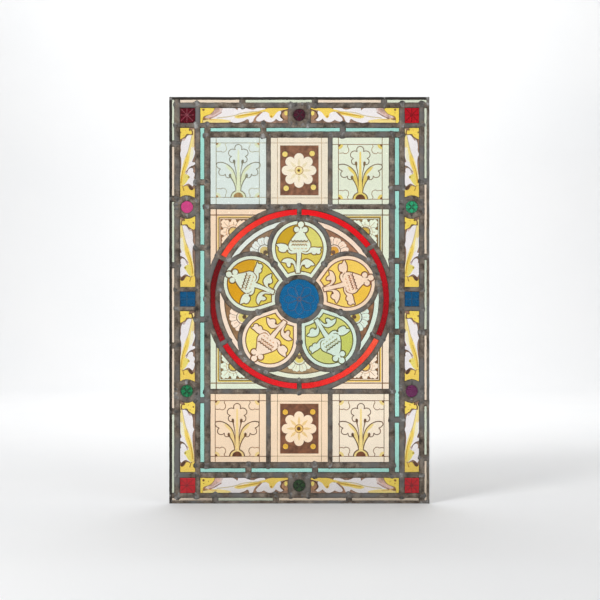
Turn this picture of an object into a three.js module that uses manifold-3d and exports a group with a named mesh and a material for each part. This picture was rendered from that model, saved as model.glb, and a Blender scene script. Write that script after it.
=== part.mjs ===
// A leaded light in the Victorian manner: one upright panel of painted and coloured glass, held in
// soldered lead cames. A five-petalled roundel sits inside a ruby ring, six painted quarries stand
// above and below it, and a turquoise strip, a leaf border and a thin pale fillet go round it.
//
// Millimetres, +Z up. The painted face looks along -Y. The origin is the middle of the underside of
// the bottom edge lead, where the panel stands in its frame. Every outline is drawn flat, x across
// and y up, and the whole drawing is stood upright at the end.
import * as THREE from "three";
import { mergeVertices } from "three/addons/utils/BufferGeometryUtils.js";
import Module from "manifold-3d";

const wasm = await Module();
wasm.setup();

// The panel
const panelWidth = 416;
const panelHeight = 650;
const glassThickness = 3;

// Lead came: two flat leaves joined by a heart, seen end on as an H
const heart = 1.5;
const leafThickness = 1.2;
const cement = 0.3; // gap filled with cement between a pane and its channel
const wideLead = 9.6;
const crossLead = 8.2;
const narrowLead = 7.6;
const jointLead = 10; // short piece between two lengths of a thin strip
const edgeLead = 4.4; // what shows of the lead round the outside

// Bands, from the outside in
const filletWidth = 3.2;
const borderWidth = 22; // leaf border at the sides
const borderHeight = 23; // and along the top and bottom
const stripWidth = 6.4;

// Painted quarries and the field of the roundel
const centreQuarryWidth = 91.2;
const fieldHeight = 287.2;
const middle = 326.8; // height of the roundel's centre

// The roundel
const petals = 5;
const roundelRadius = 32;
const petalCentre = 81; // from the roundel's centre
const petalLead = 9;
const petalFieldRadius = 127; // inside the inner ring lead
const innerRingLead = 7.8;
const rubyWidth = 8.6;
const outerRingLead = 8.6;
const innerTip = 21.3; // degrees from a spandrel's axis to its blunt tips
const outerTip = 22.5; // degrees from the level to a corner spandrel's blunt tip
const rubyBreaks = [90, 152, 210, 270, 334, 396]; // degrees, where the ruby ring is cut

// Jewels in the border
const jewelRadius = 10.6;
const jewelSpacing = 147.2; // from the middle, up and down the sides
const squareJewelHeight = 23.4;
const hollowRadius = 28; // hollow end of a leaf pane beside a round jewel

// Where short leads cut the thin strips, along each side
const filletJoints = {
  left: [147, 252.5, 381, 487, 575.5],
  right: [73, 160.5, 273.5, 394.5, 515],
  bottom: [-134.5, -37.5, 79.5],
  top: [-91, 25, 135.5],
};
const stripJoints = {
  left: [165, 294, 409, 513.5],
  right: [134, 274.5, 388, 504.5],
  bottom: [-81.4, 25.2],
  top: [-57.5, 69.6],
};

// Straight steps in each kind of arc, the same for an opening, its glass and its channel
const steps = {
  jewel: 12,
  roundel: 22,
  petalHead: 16,
  petalFoot: 3,
  hollowEnd: 3,
  ruby: 6,
  spandrelRing: 5,
  spandrelSide: 4,
  cornerRing: 6,
};

const channelDepth = glassThickness + 2 * cement;
const leadDepth = channelDepth + 2 * leafThickness;
const radians = THREE.MathUtils.degToRad;

// ---------------------------------------------------------------------------------------------
// Lead lines
// ---------------------------------------------------------------------------------------------

// A lead line is where a came's heart runs, as a coordinate or a radius, and how wide it is.
const line = (at, width) => ({ at, width });

// How far each layer stays off a lead line: the opening that shows, the glass tucked behind the
// leaves, and the channel that the glass stands in.
const layers = {
  opening: ({ width }) => width / 2,
  glass: () => heart / 2 + cement,
  channel: () => heart / 2,
};

// The lead lines met on the way in from one edge. The outermost is trimmed flush with its heart.
function bandLines(border) {
  const edge = line(heart / 2, 2 * edgeLead - heart);
  const outer = line(edgeLead + filletWidth + wideLead / 2, wideLead);
  const inner = line(outer.at + wideLead + border, wideLead);
  const strip = line(inner.at + wideLead + stripWidth, wideLead);
  return { edge, outer, inner, strip };
}

// The same lines set off from both ends of a span.
function fromBothEnds(lines, low, high) {
  const place = (at) =>
    Object.fromEntries(Object.entries(lines).map(([name, each]) => [name, line(at(each.at), each.width)]));
  return [place((off) => low + off), place((off) => high - off)];
}

const [left, right] = fromBothEnds(bandLines(borderWidth), -panelWidth / 2, panelWidth / 2);
const [bottom, top] = fromBothEnds(bandLines(borderHeight), 0, panelHeight);

const columnLead = (centreQuarryWidth + narrowLead) / 2;
const columns = [left.strip, line(-columnLead, narrowLead), line(columnLead, narrowLead), right.strip];
const rowLead = (fieldHeight + crossLead) / 2;
const fieldBottom = line(middle - rowLead, crossLead);
const fieldTop = line(middle + rowLead, crossLead);

const roundelLine = line(roundelRadius + narrowLead / 2, narrowLead);
const halfPetal = radians(180 / petals);
const petalLine = line(petalCentre * Math.sin(halfPetal), petalLead);
const innerRing = line(petalFieldRadius + innerRingLead / 2, innerRingLead);
const outerRing = line(innerRing.at + innerRingLead / 2 + rubyWidth + outerRingLead / 2, outerRingLead);
const jewelLine = line(jewelRadius + narrowLead / 2, narrowLead);

// ---------------------------------------------------------------------------------------------
// Outlines: each function returns one that takes a layer's name and gives its points
// ---------------------------------------------------------------------------------------------

const point = (x, y) => new THREE.Vector2(x, y);
const polar = (radius, angle, x = 0, y = middle) => point(x + radius * Math.cos(angle), y + radius * Math.sin(angle));

// Points along an arc, both ends included. It lies about the roundel's centre unless told otherwise.
function arc(count, radius, from, to, x = 0, y = middle) {
  return Array.from({ length: count + 1 }, (_, i) => polar(radius, from + ((to - from) * i) / count, x, y));
}

// Points along the shorter arc about a centre from one point to another.
function arcBetween(count, centre, from, to) {
  const start = from.clone().sub(centre).angle();
  const turn = to.clone().sub(centre).angle() - start;
  const shorter = turn - 2 * Math.PI * Math.round(turn / (2 * Math.PI));
  return arc(count, from.distanceTo(centre), start, start + shorter, centre.x, centre.y);
}

function rectangle(sides) {
  return (layer) => {
    const off = layers[layer];
    const x0 = sides.left.at + off(sides.left);
    const x1 = sides.right.at - off(sides.right);
    const y0 = sides.bottom.at + off(sides.bottom);
    const y1 = sides.top.at - off(sides.top);
    return [point(x0, y0), point(x1, y0), point(x1, y1), point(x0, y1)];
  };
}

function disc(count, x, y, around) {
  return (layer) => arc(count, around.at - layers[layer](around), 0, 2 * Math.PI, x, y).slice(1);
}

// A leaf pane of the side border: straight at one end, hollowed beside a round jewel at the other.
// away is +1 where the pane stands above its jewel and -1 where it hangs below.
function hollowEnded(sides, straightEnd, jewelY, away) {
  const hollow = line(hollowRadius - narrowLead / 2, narrowLead);
  const centreY = jewelY + away * (jewelLine.at - hollow.at);
  return (layer) => {
    const off = layers[layer];
    const x0 = sides.left.at + off(sides.left);
    const x1 = sides.right.at - off(sides.right);
    const straightY = straightEnd.at - away * off(straightEnd);
    const radius = hollow.at + off(hollow);
    const half = Math.asin((x1 - x0) / 2 / radius);
    const up = (away * Math.PI) / 2;
    const end = arc(steps.hollowEnd, radius, up + away * half, up - away * half, (x0 + x1) / 2, centreY);
    return [...end, point(x1, straightY), point(x0, straightY)];
  };
}

// A petal: a circle drawn in by two straight sides that run to the roundel's lead.
function petal(axis) {
  return (layer) => {
    const off = layers[layer];
    const sideOff = off(petalLine);
    const footRadius = roundelLine.at + off(roundelLine);
    const halfFoot = halfPetal - Math.asin(sideOff / footRadius);
    const shoulder = halfPetal + Math.PI / 2;
    const { x, y } = polar(petalCentre, axis);
    const head = arc(steps.petalHead, petalLine.at - sideOff, axis - shoulder, axis + shoulder, x, y);
    return [...head, ...arc(steps.petalFoot, footRadius, axis + halfFoot, axis - halfFoot)];
  };
}

// How far from the roundel's centre a ray leaves a petal's circle, turned off the petal's axis.
const beyondPetal = (circle, turn) =>
  petalCentre * Math.cos(turn) + Math.sqrt(circle ** 2 - (petalCentre * Math.sin(turn)) ** 2);

// The three-sided pane between two petals and the inner ring, its two long tips cut blunt.
function innerSpandrel(axis) {
  return (layer) => {
    const off = layers[layer];
    const ringRadius = innerRing.at - off(innerRing);
    const circle = petalLine.at + off(petalLine);
    const halfTip = radians(innerTip) + (layers.opening(innerRing) - off(innerRing)) / ringRadius;
    const inner = polar(beyondPetal(circle, halfPetal), axis);
    const side = (way) => {
      const centre = polar(petalCentre, axis + way * halfPetal);
      const tip = polar(beyondPetal(circle, halfPetal - halfTip), axis + way * halfTip);
      return arcBetween(steps.spandrelSide, centre, tip, inner);
    };
    const outside = arc(steps.spandrelRing, ringRadius, axis - halfTip, axis + halfTip);
    return [...outside, ...side(1), ...side(-1).reverse().slice(1)];
  };
}

// One length of the ruby ring, between two breaks.
function ringSegment(from, to) {
  return (layer) => {
    const off = layers[layer];
    const end = off(line(0, narrowLead));
    const outside = outerRing.at - off(outerRing);
    const inside = innerRing.at + off(innerRing);
    const bow = (radius) => arc(steps.ruby, radius, from + Math.asin(end / radius), to - Math.asin(end / radius));
    return [...bow(outside), ...bow(inside).reverse()];
  };
}

// The pane between the ring and one corner of the field. acrossWay and upWay are +1 or -1.
function cornerSpandrel(acrossWay, upWay) {
  return (layer) => {
    const off = layers[layer];
    const x1 = right.strip.at - off(right.strip);
    const y1 = fieldTop.at - off(fieldTop) - middle;
    const radius = outerRing.at + off(outerRing);
    const tip = radians(outerTip) - (layers.opening(outerRing) - off(outerRing)) / radius;
    const corner = [point(x1, x1 * Math.tan(tip)), point(x1, y1), point(y1 * Math.tan(tip), y1)];
    const points = [...corner, ...arc(steps.cornerRing, radius, Math.PI / 2 - tip, tip, 0, 0)];
    return points.map(({ x, y }) => point(acrossWay * x, middle + upWay * y));
  };
}

// ---------------------------------------------------------------------------------------------
// Panes: name, glass, outline, and the openings that show it
// ---------------------------------------------------------------------------------------------

const glassColours = {
  pale: 0xe9e2c9,
  ruby: 0xb4081a,
  wine: 0x5a0a1c,
  leaf: 0xefdda2,
  pink: 0xcd4682,
  green: 0x187a4c,
  purple: 0x5f194b,
  dark: 0x1a4012,
  blue: 0x0a5a96,
  turquoise: 0xa5dfd1,
  quarry: 0xece6d2,
  sprig: 0xdfe9df,
  daisy: 0xd9c6a6,
  field: 0xecdfc6,
  scarlet: 0xf03a28,
  stained: 0xe3d287,
};
const panes = [];
const pane = (name, glass, outline, openings = [outline("opening")]) =>
  panes.push({ name, glass, outline, openings });

// A thin strip, one length of glass here, that short leads divide into its separate openings.
function strip(name, glass, sides, low, high, joints) {
  const cuts = [sides[low], ...joints.map((at) => line(at, jointLead)), sides[high]];
  const openings = cuts.slice(1).map((end, i) => rectangle({ ...sides, [low]: cuts[i], [high]: end })("opening"));
  pane(name, glass, rectangle(sides), openings);
}
const upright = (name, glass, sides, joints) => strip(name, glass, sides, "bottom", "top", joints);
const level = (name, glass, sides, joints) => strip(name, glass, sides, "left", "right", joints);

// Outer fillet and turquoise strip: each length starts at one corner and stops short of the next.
const filletSides = {
  left: { left: left.edge, right: left.outer, bottom: bottom.outer, top: top.edge },
  right: { left: right.outer, right: right.edge, bottom: bottom.edge, top: top.outer },
  bottom: { left: left.edge, right: right.outer, bottom: bottom.edge, top: bottom.outer },
  top: { left: left.outer, right: right.edge, bottom: top.outer, top: top.edge },
};
const stripSides = {
  left: { left: left.inner, right: left.strip, bottom: bottom.strip, top: top.inner },
  right: { left: right.strip, right: right.inner, bottom: bottom.inner, top: top.strip },
  bottom: { left: left.inner, right: right.strip, bottom: bottom.inner, top: bottom.strip },
  top: { left: left.strip, right: right.inner, bottom: top.strip, top: top.inner },
};
for (const side of ["left", "right", "bottom", "top"]) {
  const run = side === "left" || side === "right" ? upright : level;
  run(`fillet_${side}`, "pale", filletSides[side], filletJoints[side]);
  run(`turquoise_strip_${side}`, "turquoise", stripSides[side], stripJoints[side]);
}

// Corner squares
const borderLeft = { left: left.outer, right: left.inner };
const borderRight = { left: right.inner, right: right.outer };
const borderTop = { bottom: top.inner, top: top.outer };
const borderBottom = { bottom: bottom.outer, top: bottom.inner };
pane("corner_top_left", "wine", rectangle({ ...borderLeft, ...borderTop }));
pane("corner_top_right", "ruby", rectangle({ ...borderRight, ...borderTop }));
pane("corner_bottom_left", "ruby", rectangle({ ...borderLeft, ...borderBottom }));
pane("corner_bottom_right", "ruby", rectangle({ ...borderRight, ...borderBottom }));

// Side borders: corner, leaf, round jewel, leaf, square jewel, leaf, round jewel, leaf, corner
const squareLead = squareJewelHeight / 2 + narrowLead / 2;
const squareTop = line(middle + squareLead, narrowLead);
const squareBottom = line(middle - squareLead, narrowLead);
const upperJewel = middle + jewelSpacing;
const lowerJewel = middle - jewelSpacing;
const sideJewels = {
  left: { upper: "pink", lower: "green" },
  right: { upper: "green", lower: "purple" },
};
for (const [side, sides] of Object.entries({ left: borderLeft, right: borderRight })) {
  const across = (sides.left.at + sides.right.at) / 2;
  pane(`leaf_${side}_1`, "leaf", hollowEnded(sides, top.inner, upperJewel, 1));
  pane(`leaf_${side}_2`, "leaf", hollowEnded(sides, squareTop, upperJewel, -1));
  pane(`leaf_${side}_3`, "leaf", hollowEnded(sides, squareBottom, lowerJewel, 1));
  pane(`leaf_${side}_4`, "leaf", hollowEnded(sides, bottom.inner, lowerJewel, -1));
  pane(`jewel_${side}_upper`, sideJewels[side].upper, disc(steps.jewel, across, upperJewel, jewelLine));
  pane(`jewel_${side}_middle`, "blue", rectangle({ ...sides, bottom: squareBottom, top: squareTop }));
  pane(`jewel_${side}_lower`, sideJewels[side].lower, disc(steps.jewel, across, lowerJewel, jewelLine));
}

// Top and bottom borders: leaf, round jewel, leaf
const endJewels = { top: "wine", bottom: "dark" };
for (const [side, sides] of Object.entries({ top: borderTop, bottom: borderBottom })) {
  const height = (sides.bottom.at + sides.top.at) / 2;
  const leftOfJewel = line(-jewelLine.at, narrowLead);
  const rightOfJewel = line(jewelLine.at, narrowLead);
  pane(`leaf_${side}_left`, "leaf", rectangle({ ...sides, left: left.inner, right: leftOfJewel }));
  pane(`leaf_${side}_right`, "leaf", rectangle({ ...sides, left: rightOfJewel, right: right.inner }));
  pane(`jewel_${side}`, endJewels[side], disc(steps.jewel, 0, height, jewelLine));
}

// Quarries above and below the field
const rows = {
  top: { bottom: fieldTop, top: top.strip },
  bottom: { bottom: bottom.strip, top: fieldBottom },
};
for (const [row, sides] of Object.entries(rows))
  ["left", "centre", "right"].forEach((column, i) => {
    const glass = column === "centre" ? "daisy" : row === "top" ? "sprig" : "quarry";
    pane(`quarry_${row}_${column}`, glass, rectangle({ ...sides, left: columns[i], right: columns[i + 1] }));
  });

// The field: corners, ruby ring, inner spandrels, petals and the blue roundel
pane("field_corner_top_left", "field", cornerSpandrel(-1, 1));
pane("field_corner_top_right", "field", cornerSpandrel(1, 1));
pane("field_corner_bottom_left", "field", cornerSpandrel(-1, -1));
pane("field_corner_bottom_right", "field", cornerSpandrel(1, -1));
rubyBreaks.forEach((from, i) => {
  const to = rubyBreaks[i + 1] ?? rubyBreaks[0] + 360;
  const glass = i === 0 || i === 3 ? "scarlet" : "ruby";
  pane(`ruby_ring_${i + 1}`, glass, ringSegment(radians(from), radians(to)));
});
for (let i = 0; i < petals; i++) {
  const axis = Math.PI / 2 + 2 * i * halfPetal;
  pane(`petal_${i + 1}`, "stained", petal(axis));
  pane(`petal_spandrel_${i + 1}`, "field", innerSpandrel(axis + halfPetal));
}
pane("roundel_centre", "blue", disc(steps.roundel, 0, middle, roundelLine));

// ---------------------------------------------------------------------------------------------
// Solids
// ---------------------------------------------------------------------------------------------

// An outline given its depth, half of it to each side of the drawing.
const slab = (outline, depth) =>
  new THREE.ExtrudeGeometry(new THREE.Shape(outline), { depth, bevelEnabled: false }).translate(0, 0, -depth / 2);

function toSolid(geometry) {
  geometry.deleteAttribute("normal");
  geometry.deleteAttribute("uv");
  const merged = mergeVertices(geometry, 1e-4);
  const vertProperties = merged.attributes.position.array;
  const triVerts = new Uint32Array(merged.index.array);
  return new wasm.Manifold(new wasm.Mesh({ numProp: 3, vertProperties, triVerts }));
}

function toGeometry(solid) {
  const { vertProperties, triVerts } = solid.getMesh();
  const geometry = new THREE.BufferGeometry();
  geometry.setAttribute("position", new THREE.BufferAttribute(vertProperties, 3));
  geometry.setIndex(new THREE.BufferAttribute(triVerts, 1));
  geometry.computeVertexNormals();
  return geometry;
}

// The whole leadwork is one soldered piece. Each opening goes right through it, and each channel
// is cut inside it between the front leaves and the back ones.
function leadLattice() {
  const sheet = new THREE.BoxGeometry(panelWidth, panelHeight, leadDepth).translate(0, panelHeight / 2, 0);
  const openings = panes.flatMap((each) => each.openings.map((outline) => slab(outline, 2 * leadDepth)));
  const channels = panes.map(({ outline }) => slab(outline("channel"), channelDepth));
  return [...openings, ...channels].reduce((rest, cut) => rest.subtract(toSolid(cut)), toSolid(sheet));
}

const panel = new THREE.Group();

const lead = new THREE.MeshStandardMaterial({ color: 0x6b645c, roughness: 0.6, metalness: 0.5 });
const lattice = new THREE.Mesh(toGeometry(leadLattice()), lead);
lattice.name = "lead_lattice";
panel.add(lattice);

for (const { name, glass, outline } of panes) {
  const colour = { color: glassColours[glass], roughness: 0.1, transparent: true, opacity: 0.8 };
  const mesh = new THREE.Mesh(slab(outline("glass"), glassThickness), new THREE.MeshStandardMaterial(colour));
  mesh.name = name;
  panel.add(mesh);
}

// Stand the drawing up: its height becomes +Z and the painted face looks along -Y.
panel.rotation.x = Math.PI / 2;

const part = new THREE.Group();
part.add(panel);
export default part;
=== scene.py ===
import math
import random

import bpy
import mathutils
from mathutils.geometry import delaunay_2d_cdt
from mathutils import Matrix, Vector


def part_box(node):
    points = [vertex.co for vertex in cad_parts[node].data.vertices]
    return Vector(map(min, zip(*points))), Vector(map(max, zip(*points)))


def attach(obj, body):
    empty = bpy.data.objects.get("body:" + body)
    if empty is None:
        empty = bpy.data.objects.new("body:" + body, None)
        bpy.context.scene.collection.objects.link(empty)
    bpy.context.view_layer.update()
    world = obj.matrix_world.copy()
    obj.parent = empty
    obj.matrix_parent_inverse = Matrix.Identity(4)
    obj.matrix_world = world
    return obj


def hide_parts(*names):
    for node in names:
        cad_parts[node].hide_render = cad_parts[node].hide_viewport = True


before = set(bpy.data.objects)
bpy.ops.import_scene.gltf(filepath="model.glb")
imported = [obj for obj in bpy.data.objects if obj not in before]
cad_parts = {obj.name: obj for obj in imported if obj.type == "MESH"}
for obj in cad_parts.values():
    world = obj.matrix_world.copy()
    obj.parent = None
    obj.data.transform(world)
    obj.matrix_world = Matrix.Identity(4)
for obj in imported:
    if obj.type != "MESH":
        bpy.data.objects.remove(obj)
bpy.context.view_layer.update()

# ------------------------------------------------------------------------------------------------
# The room: a plain pale floor that sweeps up into a pale wall, soft lamps in front and a wide soft
# light behind the panel, as a leaded light is looked at against the day. Nothing here is the object.
# ------------------------------------------------------------------------------------------------
camera_data = bpy.data.cameras.new("camera")
camera_data.lens = 85
camera = bpy.data.objects.new("camera", camera_data)
camera.location = (0.0011, -2.267, 0.3253)
camera.rotation_euler = (math.radians(90), 0, 0)
bpy.context.scene.collection.objects.link(camera)
bpy.context.scene.camera = camera
bpy.context.scene.view_settings.view_transform = "Standard"


class Wire:
    """One output socket. Arithmetic on it adds Math nodes to its tree."""

    def __init__(self, socket):
        self.socket = socket

    def sum_node(self, operation, *terms):
        tree = self.socket.id_data
        node = tree.nodes.new("ShaderNodeMath")
        node.operation = operation
        for slot, term in zip(node.inputs, terms):
            if isinstance(term, Wire):
                tree.links.new(term.socket, slot)
            else:
                slot.default_value = term
        return Wire(node.outputs[0])

    def __add__(self, other):
        return self.sum_node("ADD", self, other)

    def __sub__(self, other):
        return self.sum_node("SUBTRACT", self, other)

    def __rsub__(self, other):
        return self.sum_node("SUBTRACT", other, self)

    def __mul__(self, other):
        return self.sum_node("MULTIPLY", self, other)

    __radd__ = __add__
    __rmul__ = __mul__


class Bench:
    """A node tree being wired. Its one method adds a node: type, settings, then sockets."""

    def __init__(self, tree):
        self.tree = tree

    def node(self, kind, settings=None, sockets=None, out=0):
        made = self.tree.nodes.new(kind)
        for key, value in (settings or {}).items():
            if key == "stops":
                ramp = made.color_ramp.elements
                while len(ramp) < len(value):
                    ramp.new(0.5)
                for stop, (place, colour) in zip(ramp, value):
                    stop.position, stop.color = place, colour
            else:
                setattr(made, key, value)
        for key, value in (sockets or {}).items():
            slot = self.pick(made.inputs, key)
            if isinstance(value, Wire):
                self.tree.links.new(value.socket, slot)
            else:
                slot.default_value = value
        return Wire(self.pick(made.outputs, out)) if made.outputs else made

    @staticmethod
    def pick(sockets, key):
        if isinstance(key, int):
            return sockets[key]
        return next(s for s in sockets if key in (s.identifier, s.name))


def linear(red, green, blue):
    """A colour chosen on a screen, 0 to 255, as the linear colour that a shader takes."""
    parts = [c / 255 for c in (red, green, blue)]
    return tuple(c / 12.92 if c <= 0.04045 else ((c + 0.055) / 1.055) ** 2.4 for c in parts) + (1.0,)


def shader(name):
    """A new material with its own bench, and its surface output."""
    material = bpy.data.materials.new(name)
    material.use_nodes = True
    material.node_tree.nodes.clear()
    bench = Bench(material.node_tree)
    return material, bench, bench.node("ShaderNodeOutputMaterial")


def into(bench, output, wire):
    bench.tree.links.new(wire.socket, output.inputs["Surface"])


paper, bench, output = shader("backdrop_paper")
place = bench.node("ShaderNodeTexCoord", out="Object")
fibre = bench.node("ShaderNodeTexNoise", None, {"Vector": place, "Scale": 3.0, "Detail": 2.0}, "Fac")
tone = bench.node(
    "ShaderNodeMix",
    {"data_type": "RGBA"},
    {"Factor_Float": fibre, "A_Color": (0.83, 0.84, 0.85, 1), "B_Color": (0.87, 0.87, 0.87, 1)},
    "Result_Color",
)
into(bench, output, bench.node("ShaderNodeBsdfPrincipled", None, {"Base Color": tone, "Roughness": 0.9}))

sweep = [(-6.0, 0.0), (2.6, 0.0)]
sweep += [
    (2.6 + 0.9 * math.sin(a), 0.9 - 0.9 * math.cos(a))
    for a in [math.pi / 2 * i / 12 for i in range(1, 13)]
]
sweep += [(3.5, 5.0)]
floor_mesh = bpy.data.meshes.new("floor")
floor_mesh.from_pydata(
    [(x, y, z) for y, z in sweep for x in (-7.0, 7.0)],
    [],
    [(2 * i, 2 * i + 1, 2 * i + 3, 2 * i + 2) for i in range(len(sweep) - 1)],
)
floor_mesh.polygons.foreach_set("use_smooth", [True] * len(floor_mesh.polygons))
floor_mesh.materials.append(paper)
floor = bpy.data.objects.new("floor", floor_mesh)
bpy.context.scene.collection.objects.link(floor)

# The room is brighter behind the panel than in front of it, as it is for any window.
world = bpy.data.worlds.new("world")
bpy.context.scene.world = world
world.use_nodes = True
bench = Bench(world.node_tree)
way_out = bench.node("ShaderNodeTexCoord", out="Generated")
toward_wall = bench.node("ShaderNodeSeparateXYZ", None, {"Vector": way_out}, "Y")
glow = bench.node(
    "ShaderNodeMapRange",
    None,
    {"Value": toward_wall, "From Min": -0.6, "From Max": 0.6, "To Min": 0.27, "To Max": 0.86},
)
background = world.node_tree.nodes["Background"]
background.inputs["Color"].default_value = (1, 1, 1, 1)
world.node_tree.links.new(glow.socket, background.inputs["Strength"])


def lamp(name, place, aim, size, watts):
    data = bpy.data.lights.new(name, "AREA")
    data.shape = "DISK"
    data.size = size
    data.energy = watts
    made = bpy.data.objects.new(name, data)
    made.location = place
    track = [a - p for a, p in zip(aim, place)]
    made.rotation_euler = mathutils.Vector(track).to_track_quat("-Z", "Y").to_euler()
    bpy.context.scene.collection.objects.link(made)
    return made


lamp("key", (-1.3, -1.6, 1.7), (0, 0, 0.33), 0.9, 30)
lamp("fill", (1.8, -2.0, 0.9), (0, 0, 0.3), 1.4, 12)
lamp("wall_wash", (0, 1.6, 2.6), (0, 3.4, 0.6), 2.0, 56)

# ------------------------------------------------------------------------------------------------
# Lead cames. Each is an H-section strip of cast and milled lead: two domed leaves, front and back,
# joined by a heart that stands between the panes. They are cut to length, bent round the glass by
# hand, and butted together.
# ------------------------------------------------------------------------------------------------
mm = 0.001
tuck = 1.05  # how far a pane's edge stays off its lead line: half the heart and the cement
glass_half = 1.5
wide_lead, cross_lead, narrow_lead = 9.6, 8.2, 7.6
petal_lead, inner_ring_lead, outer_ring_lead, jewel_lead = 7.6, 7.6, 8.4, 9.4
joint_lead, edge_lead = 10.0, 4.4


def sides(node):
    """A node's left, right, bottom and top, in millimetres across and up the drawing."""
    low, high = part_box(node)
    return low.x / mm, high.x / mm, low.z / mm, high.z / mm


left_edge, left_outer = sides("fillet_left")[0] - tuck, sides("fillet_left")[1] + tuck
left_inner, left_strip = sides("corner_top_left")[1] + tuck, sides("quarry_top_left")[0] - tuck
left_column = sides("quarry_top_left")[1] + tuck
right_edge, right_outer, right_inner = -left_edge, -left_outer, -left_inner
right_strip, right_column = -left_strip, -left_column
low_edge, low_outer = sides("fillet_bottom")[2] - tuck, sides("fillet_bottom")[3] + tuck
low_inner, low_strip = sides("corner_bottom_left")[3] + tuck, sides("quarry_bottom_left")[2] - tuck
top_edge, top_outer = sides("fillet_top")[3] + tuck, sides("fillet_top")[2] - tuck
top_inner, top_strip = sides("corner_top_left")[2] - tuck, sides("quarry_top_left")[3] + tuck
field_low, field_top = sides("quarry_bottom_left")[3] + tuck, sides("quarry_top_left")[2] - tuck
middle = (sides("roundel_centre")[2] + sides("roundel_centre")[3]) / 2

roundel_line = (sides("roundel_centre")[3] - middle) + tuck
petal_centre = 81.0
petal_line = (sides("petal_1")[3] - middle) + tuck - petal_centre
shoulder = petal_centre * math.cos(math.radians(36))
ring_inner, ring_outer = 130.9, 147.7
jewel_line, hollow_line = 14.4, 24.2
side_jewels = [
    (x, (sides(n)[2] + sides(n)[3]) / 2)
    for x, n in [
        ((left_outer + left_inner) / 2, "jewel_left_upper"),
        ((left_outer + left_inner) / 2, "jewel_left_lower"),
        ((right_outer + right_inner) / 2, "jewel_right_upper"),
        ((right_outer + right_inner) / 2, "jewel_right_lower"),
    ]
]
end_jewels = [(0.0, (top_inner + top_outer) / 2), (0.0, (low_inner + low_outer) / 2)]
square_top, square_low = sides("jewel_left_middle")[3] + tuck, sides("jewel_left_middle")[2] - tuck

fillet_joints = {
    "left": [147, 252.5, 381, 487, 575.5],
    "right": [73, 160.5, 273.5, 394.5, 515],
    "bottom": [-134.5, -37.5, 79.5],
    "top": [-91, 25, 135.5],
}
strip_joints = {
    "left": [165, 294, 409, 513.5],
    "right": [134, 274.5, 388, 504.5],
    "bottom": [-81.4, 25.2],
    "top": [-57.5, 69.6],
}
ruby_breaks = [90, 152, 210, 270, 334, 36]


def polar(radius, degrees, x=0.0, y=None):
    turn = math.radians(degrees)
    return x + radius * math.cos(turn), (middle if y is None else y) + radius * math.sin(turn)


def arc(radius, start, end, x=0.0, y=None, step=4.0):
    """Points along an arc, both ends included, in degrees about a centre."""
    count = max(2, round(abs(end - start) * radius * math.pi / 180 / step))
    return [polar(radius, start + (end - start) * i / count, x, y) for i in range(count + 1)]


def down(x, z0, z1):
    return [(x, z0), (x, z1)]


def across(z, x0, x1):
    return [(x0, z), (x1, z)]


# Each long came of the frame: its width, how far its leaves sit off its lead line to the right or
# upwards, and its run.
long_cames = {
    "left_outer": (9.6, 0.2, down(left_outer, low_outer, top_edge)),
    "right_outer": (8.8, 0.2, down(right_outer, low_edge, top_outer)),
    "low_outer": (7.8, 0.3, across(low_outer, left_edge, right_outer)),
    "top_outer": (8.6, -0.8, across(top_outer, left_outer, right_edge)),
    "left_inner": (8.3, 1.6, down(left_inner, low_outer, top_outer)),
    "right_inner": (9.2, 0.1, down(right_inner, low_outer, top_outer)),
    "low_inner": (9.2, 0.4, across(low_inner, left_outer, right_outer)),
    "top_inner": (7.8, -0.6, across(top_inner, left_outer, right_outer)),
    "left_strip": (10.2, 0.9, down(left_strip, low_strip, top_inner)),
    "right_strip": (9.8, 0.2, down(right_strip, low_inner, top_strip)),
    "low_strip": (10.0, 0.0, across(low_strip, left_inner, right_strip)),
    "top_strip": (10.0, 1.0, across(top_strip, left_strip, right_inner)),
}
cross_runs = [across(field_low, left_strip, right_strip), across(field_top, left_strip, right_strip)]
narrow_runs = [
    down(x, a, b)
    for x in (left_column, right_column)
    for a, b in ((field_top, top_strip), (low_strip, field_low))
]
narrow_runs += [
    across(z, a, b)
    for z in (square_low, square_top)
    for a, b in ((left_outer, left_inner), (right_inner, right_outer))
]
narrow_runs += [
    down(x, a, b)
    for x in (-jewel_line, jewel_line)
    for a, b in ((top_inner, top_outer), (low_outer, low_inner))
]
narrow_runs += [[polar(ring_inner, b), polar(ring_outer, b)] for b in ruby_breaks]
for x, z in side_jewels:
    for way in (1, -1):
        half = math.degrees(math.asin(15.8 / hollow_line))
        narrow_runs.append(
            arc(
                hollow_line,
                way * 90 - half,
                way * 90 + half,
                x,
                z - way * (hollow_line - jewel_line),
            )
        )
jewel_rings = [arc(jewel_line, 0, 360, x, z, 3.0)[:-1] for x, z in side_jewels + end_jewels]
petal_runs = [[polar(roundel_line, 54 + 72 * i), polar(shoulder, 54 + 72 * i)] for i in range(5)]
petal_runs += [
    arc(petal_line, 90 + 72 * i - 126, 90 + 72 * i + 126, *polar(petal_centre, 90 + 72 * i))
    for i in range(5)
]
joint_runs = [across(z, a, b) for z, a, b in [(z, left_edge, left_outer) for z in fillet_joints["left"]]]
joint_runs += [across(z, right_outer, right_edge) for z in fillet_joints["right"]]
joint_runs += [down(x, low_edge, low_outer) for x in fillet_joints["bottom"]]
joint_runs += [down(x, top_outer, top_edge) for x in fillet_joints["top"]]
joint_runs += [across(z, left_inner, left_strip) for z in strip_joints["left"]]
joint_runs += [across(z, right_strip, right_inner) for z in strip_joints["right"]]
joint_runs += [down(x, low_inner, low_strip) for x in strip_joints["bottom"]]
joint_runs += [down(x, top_strip, top_inner) for x in strip_joints["top"]]
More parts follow.
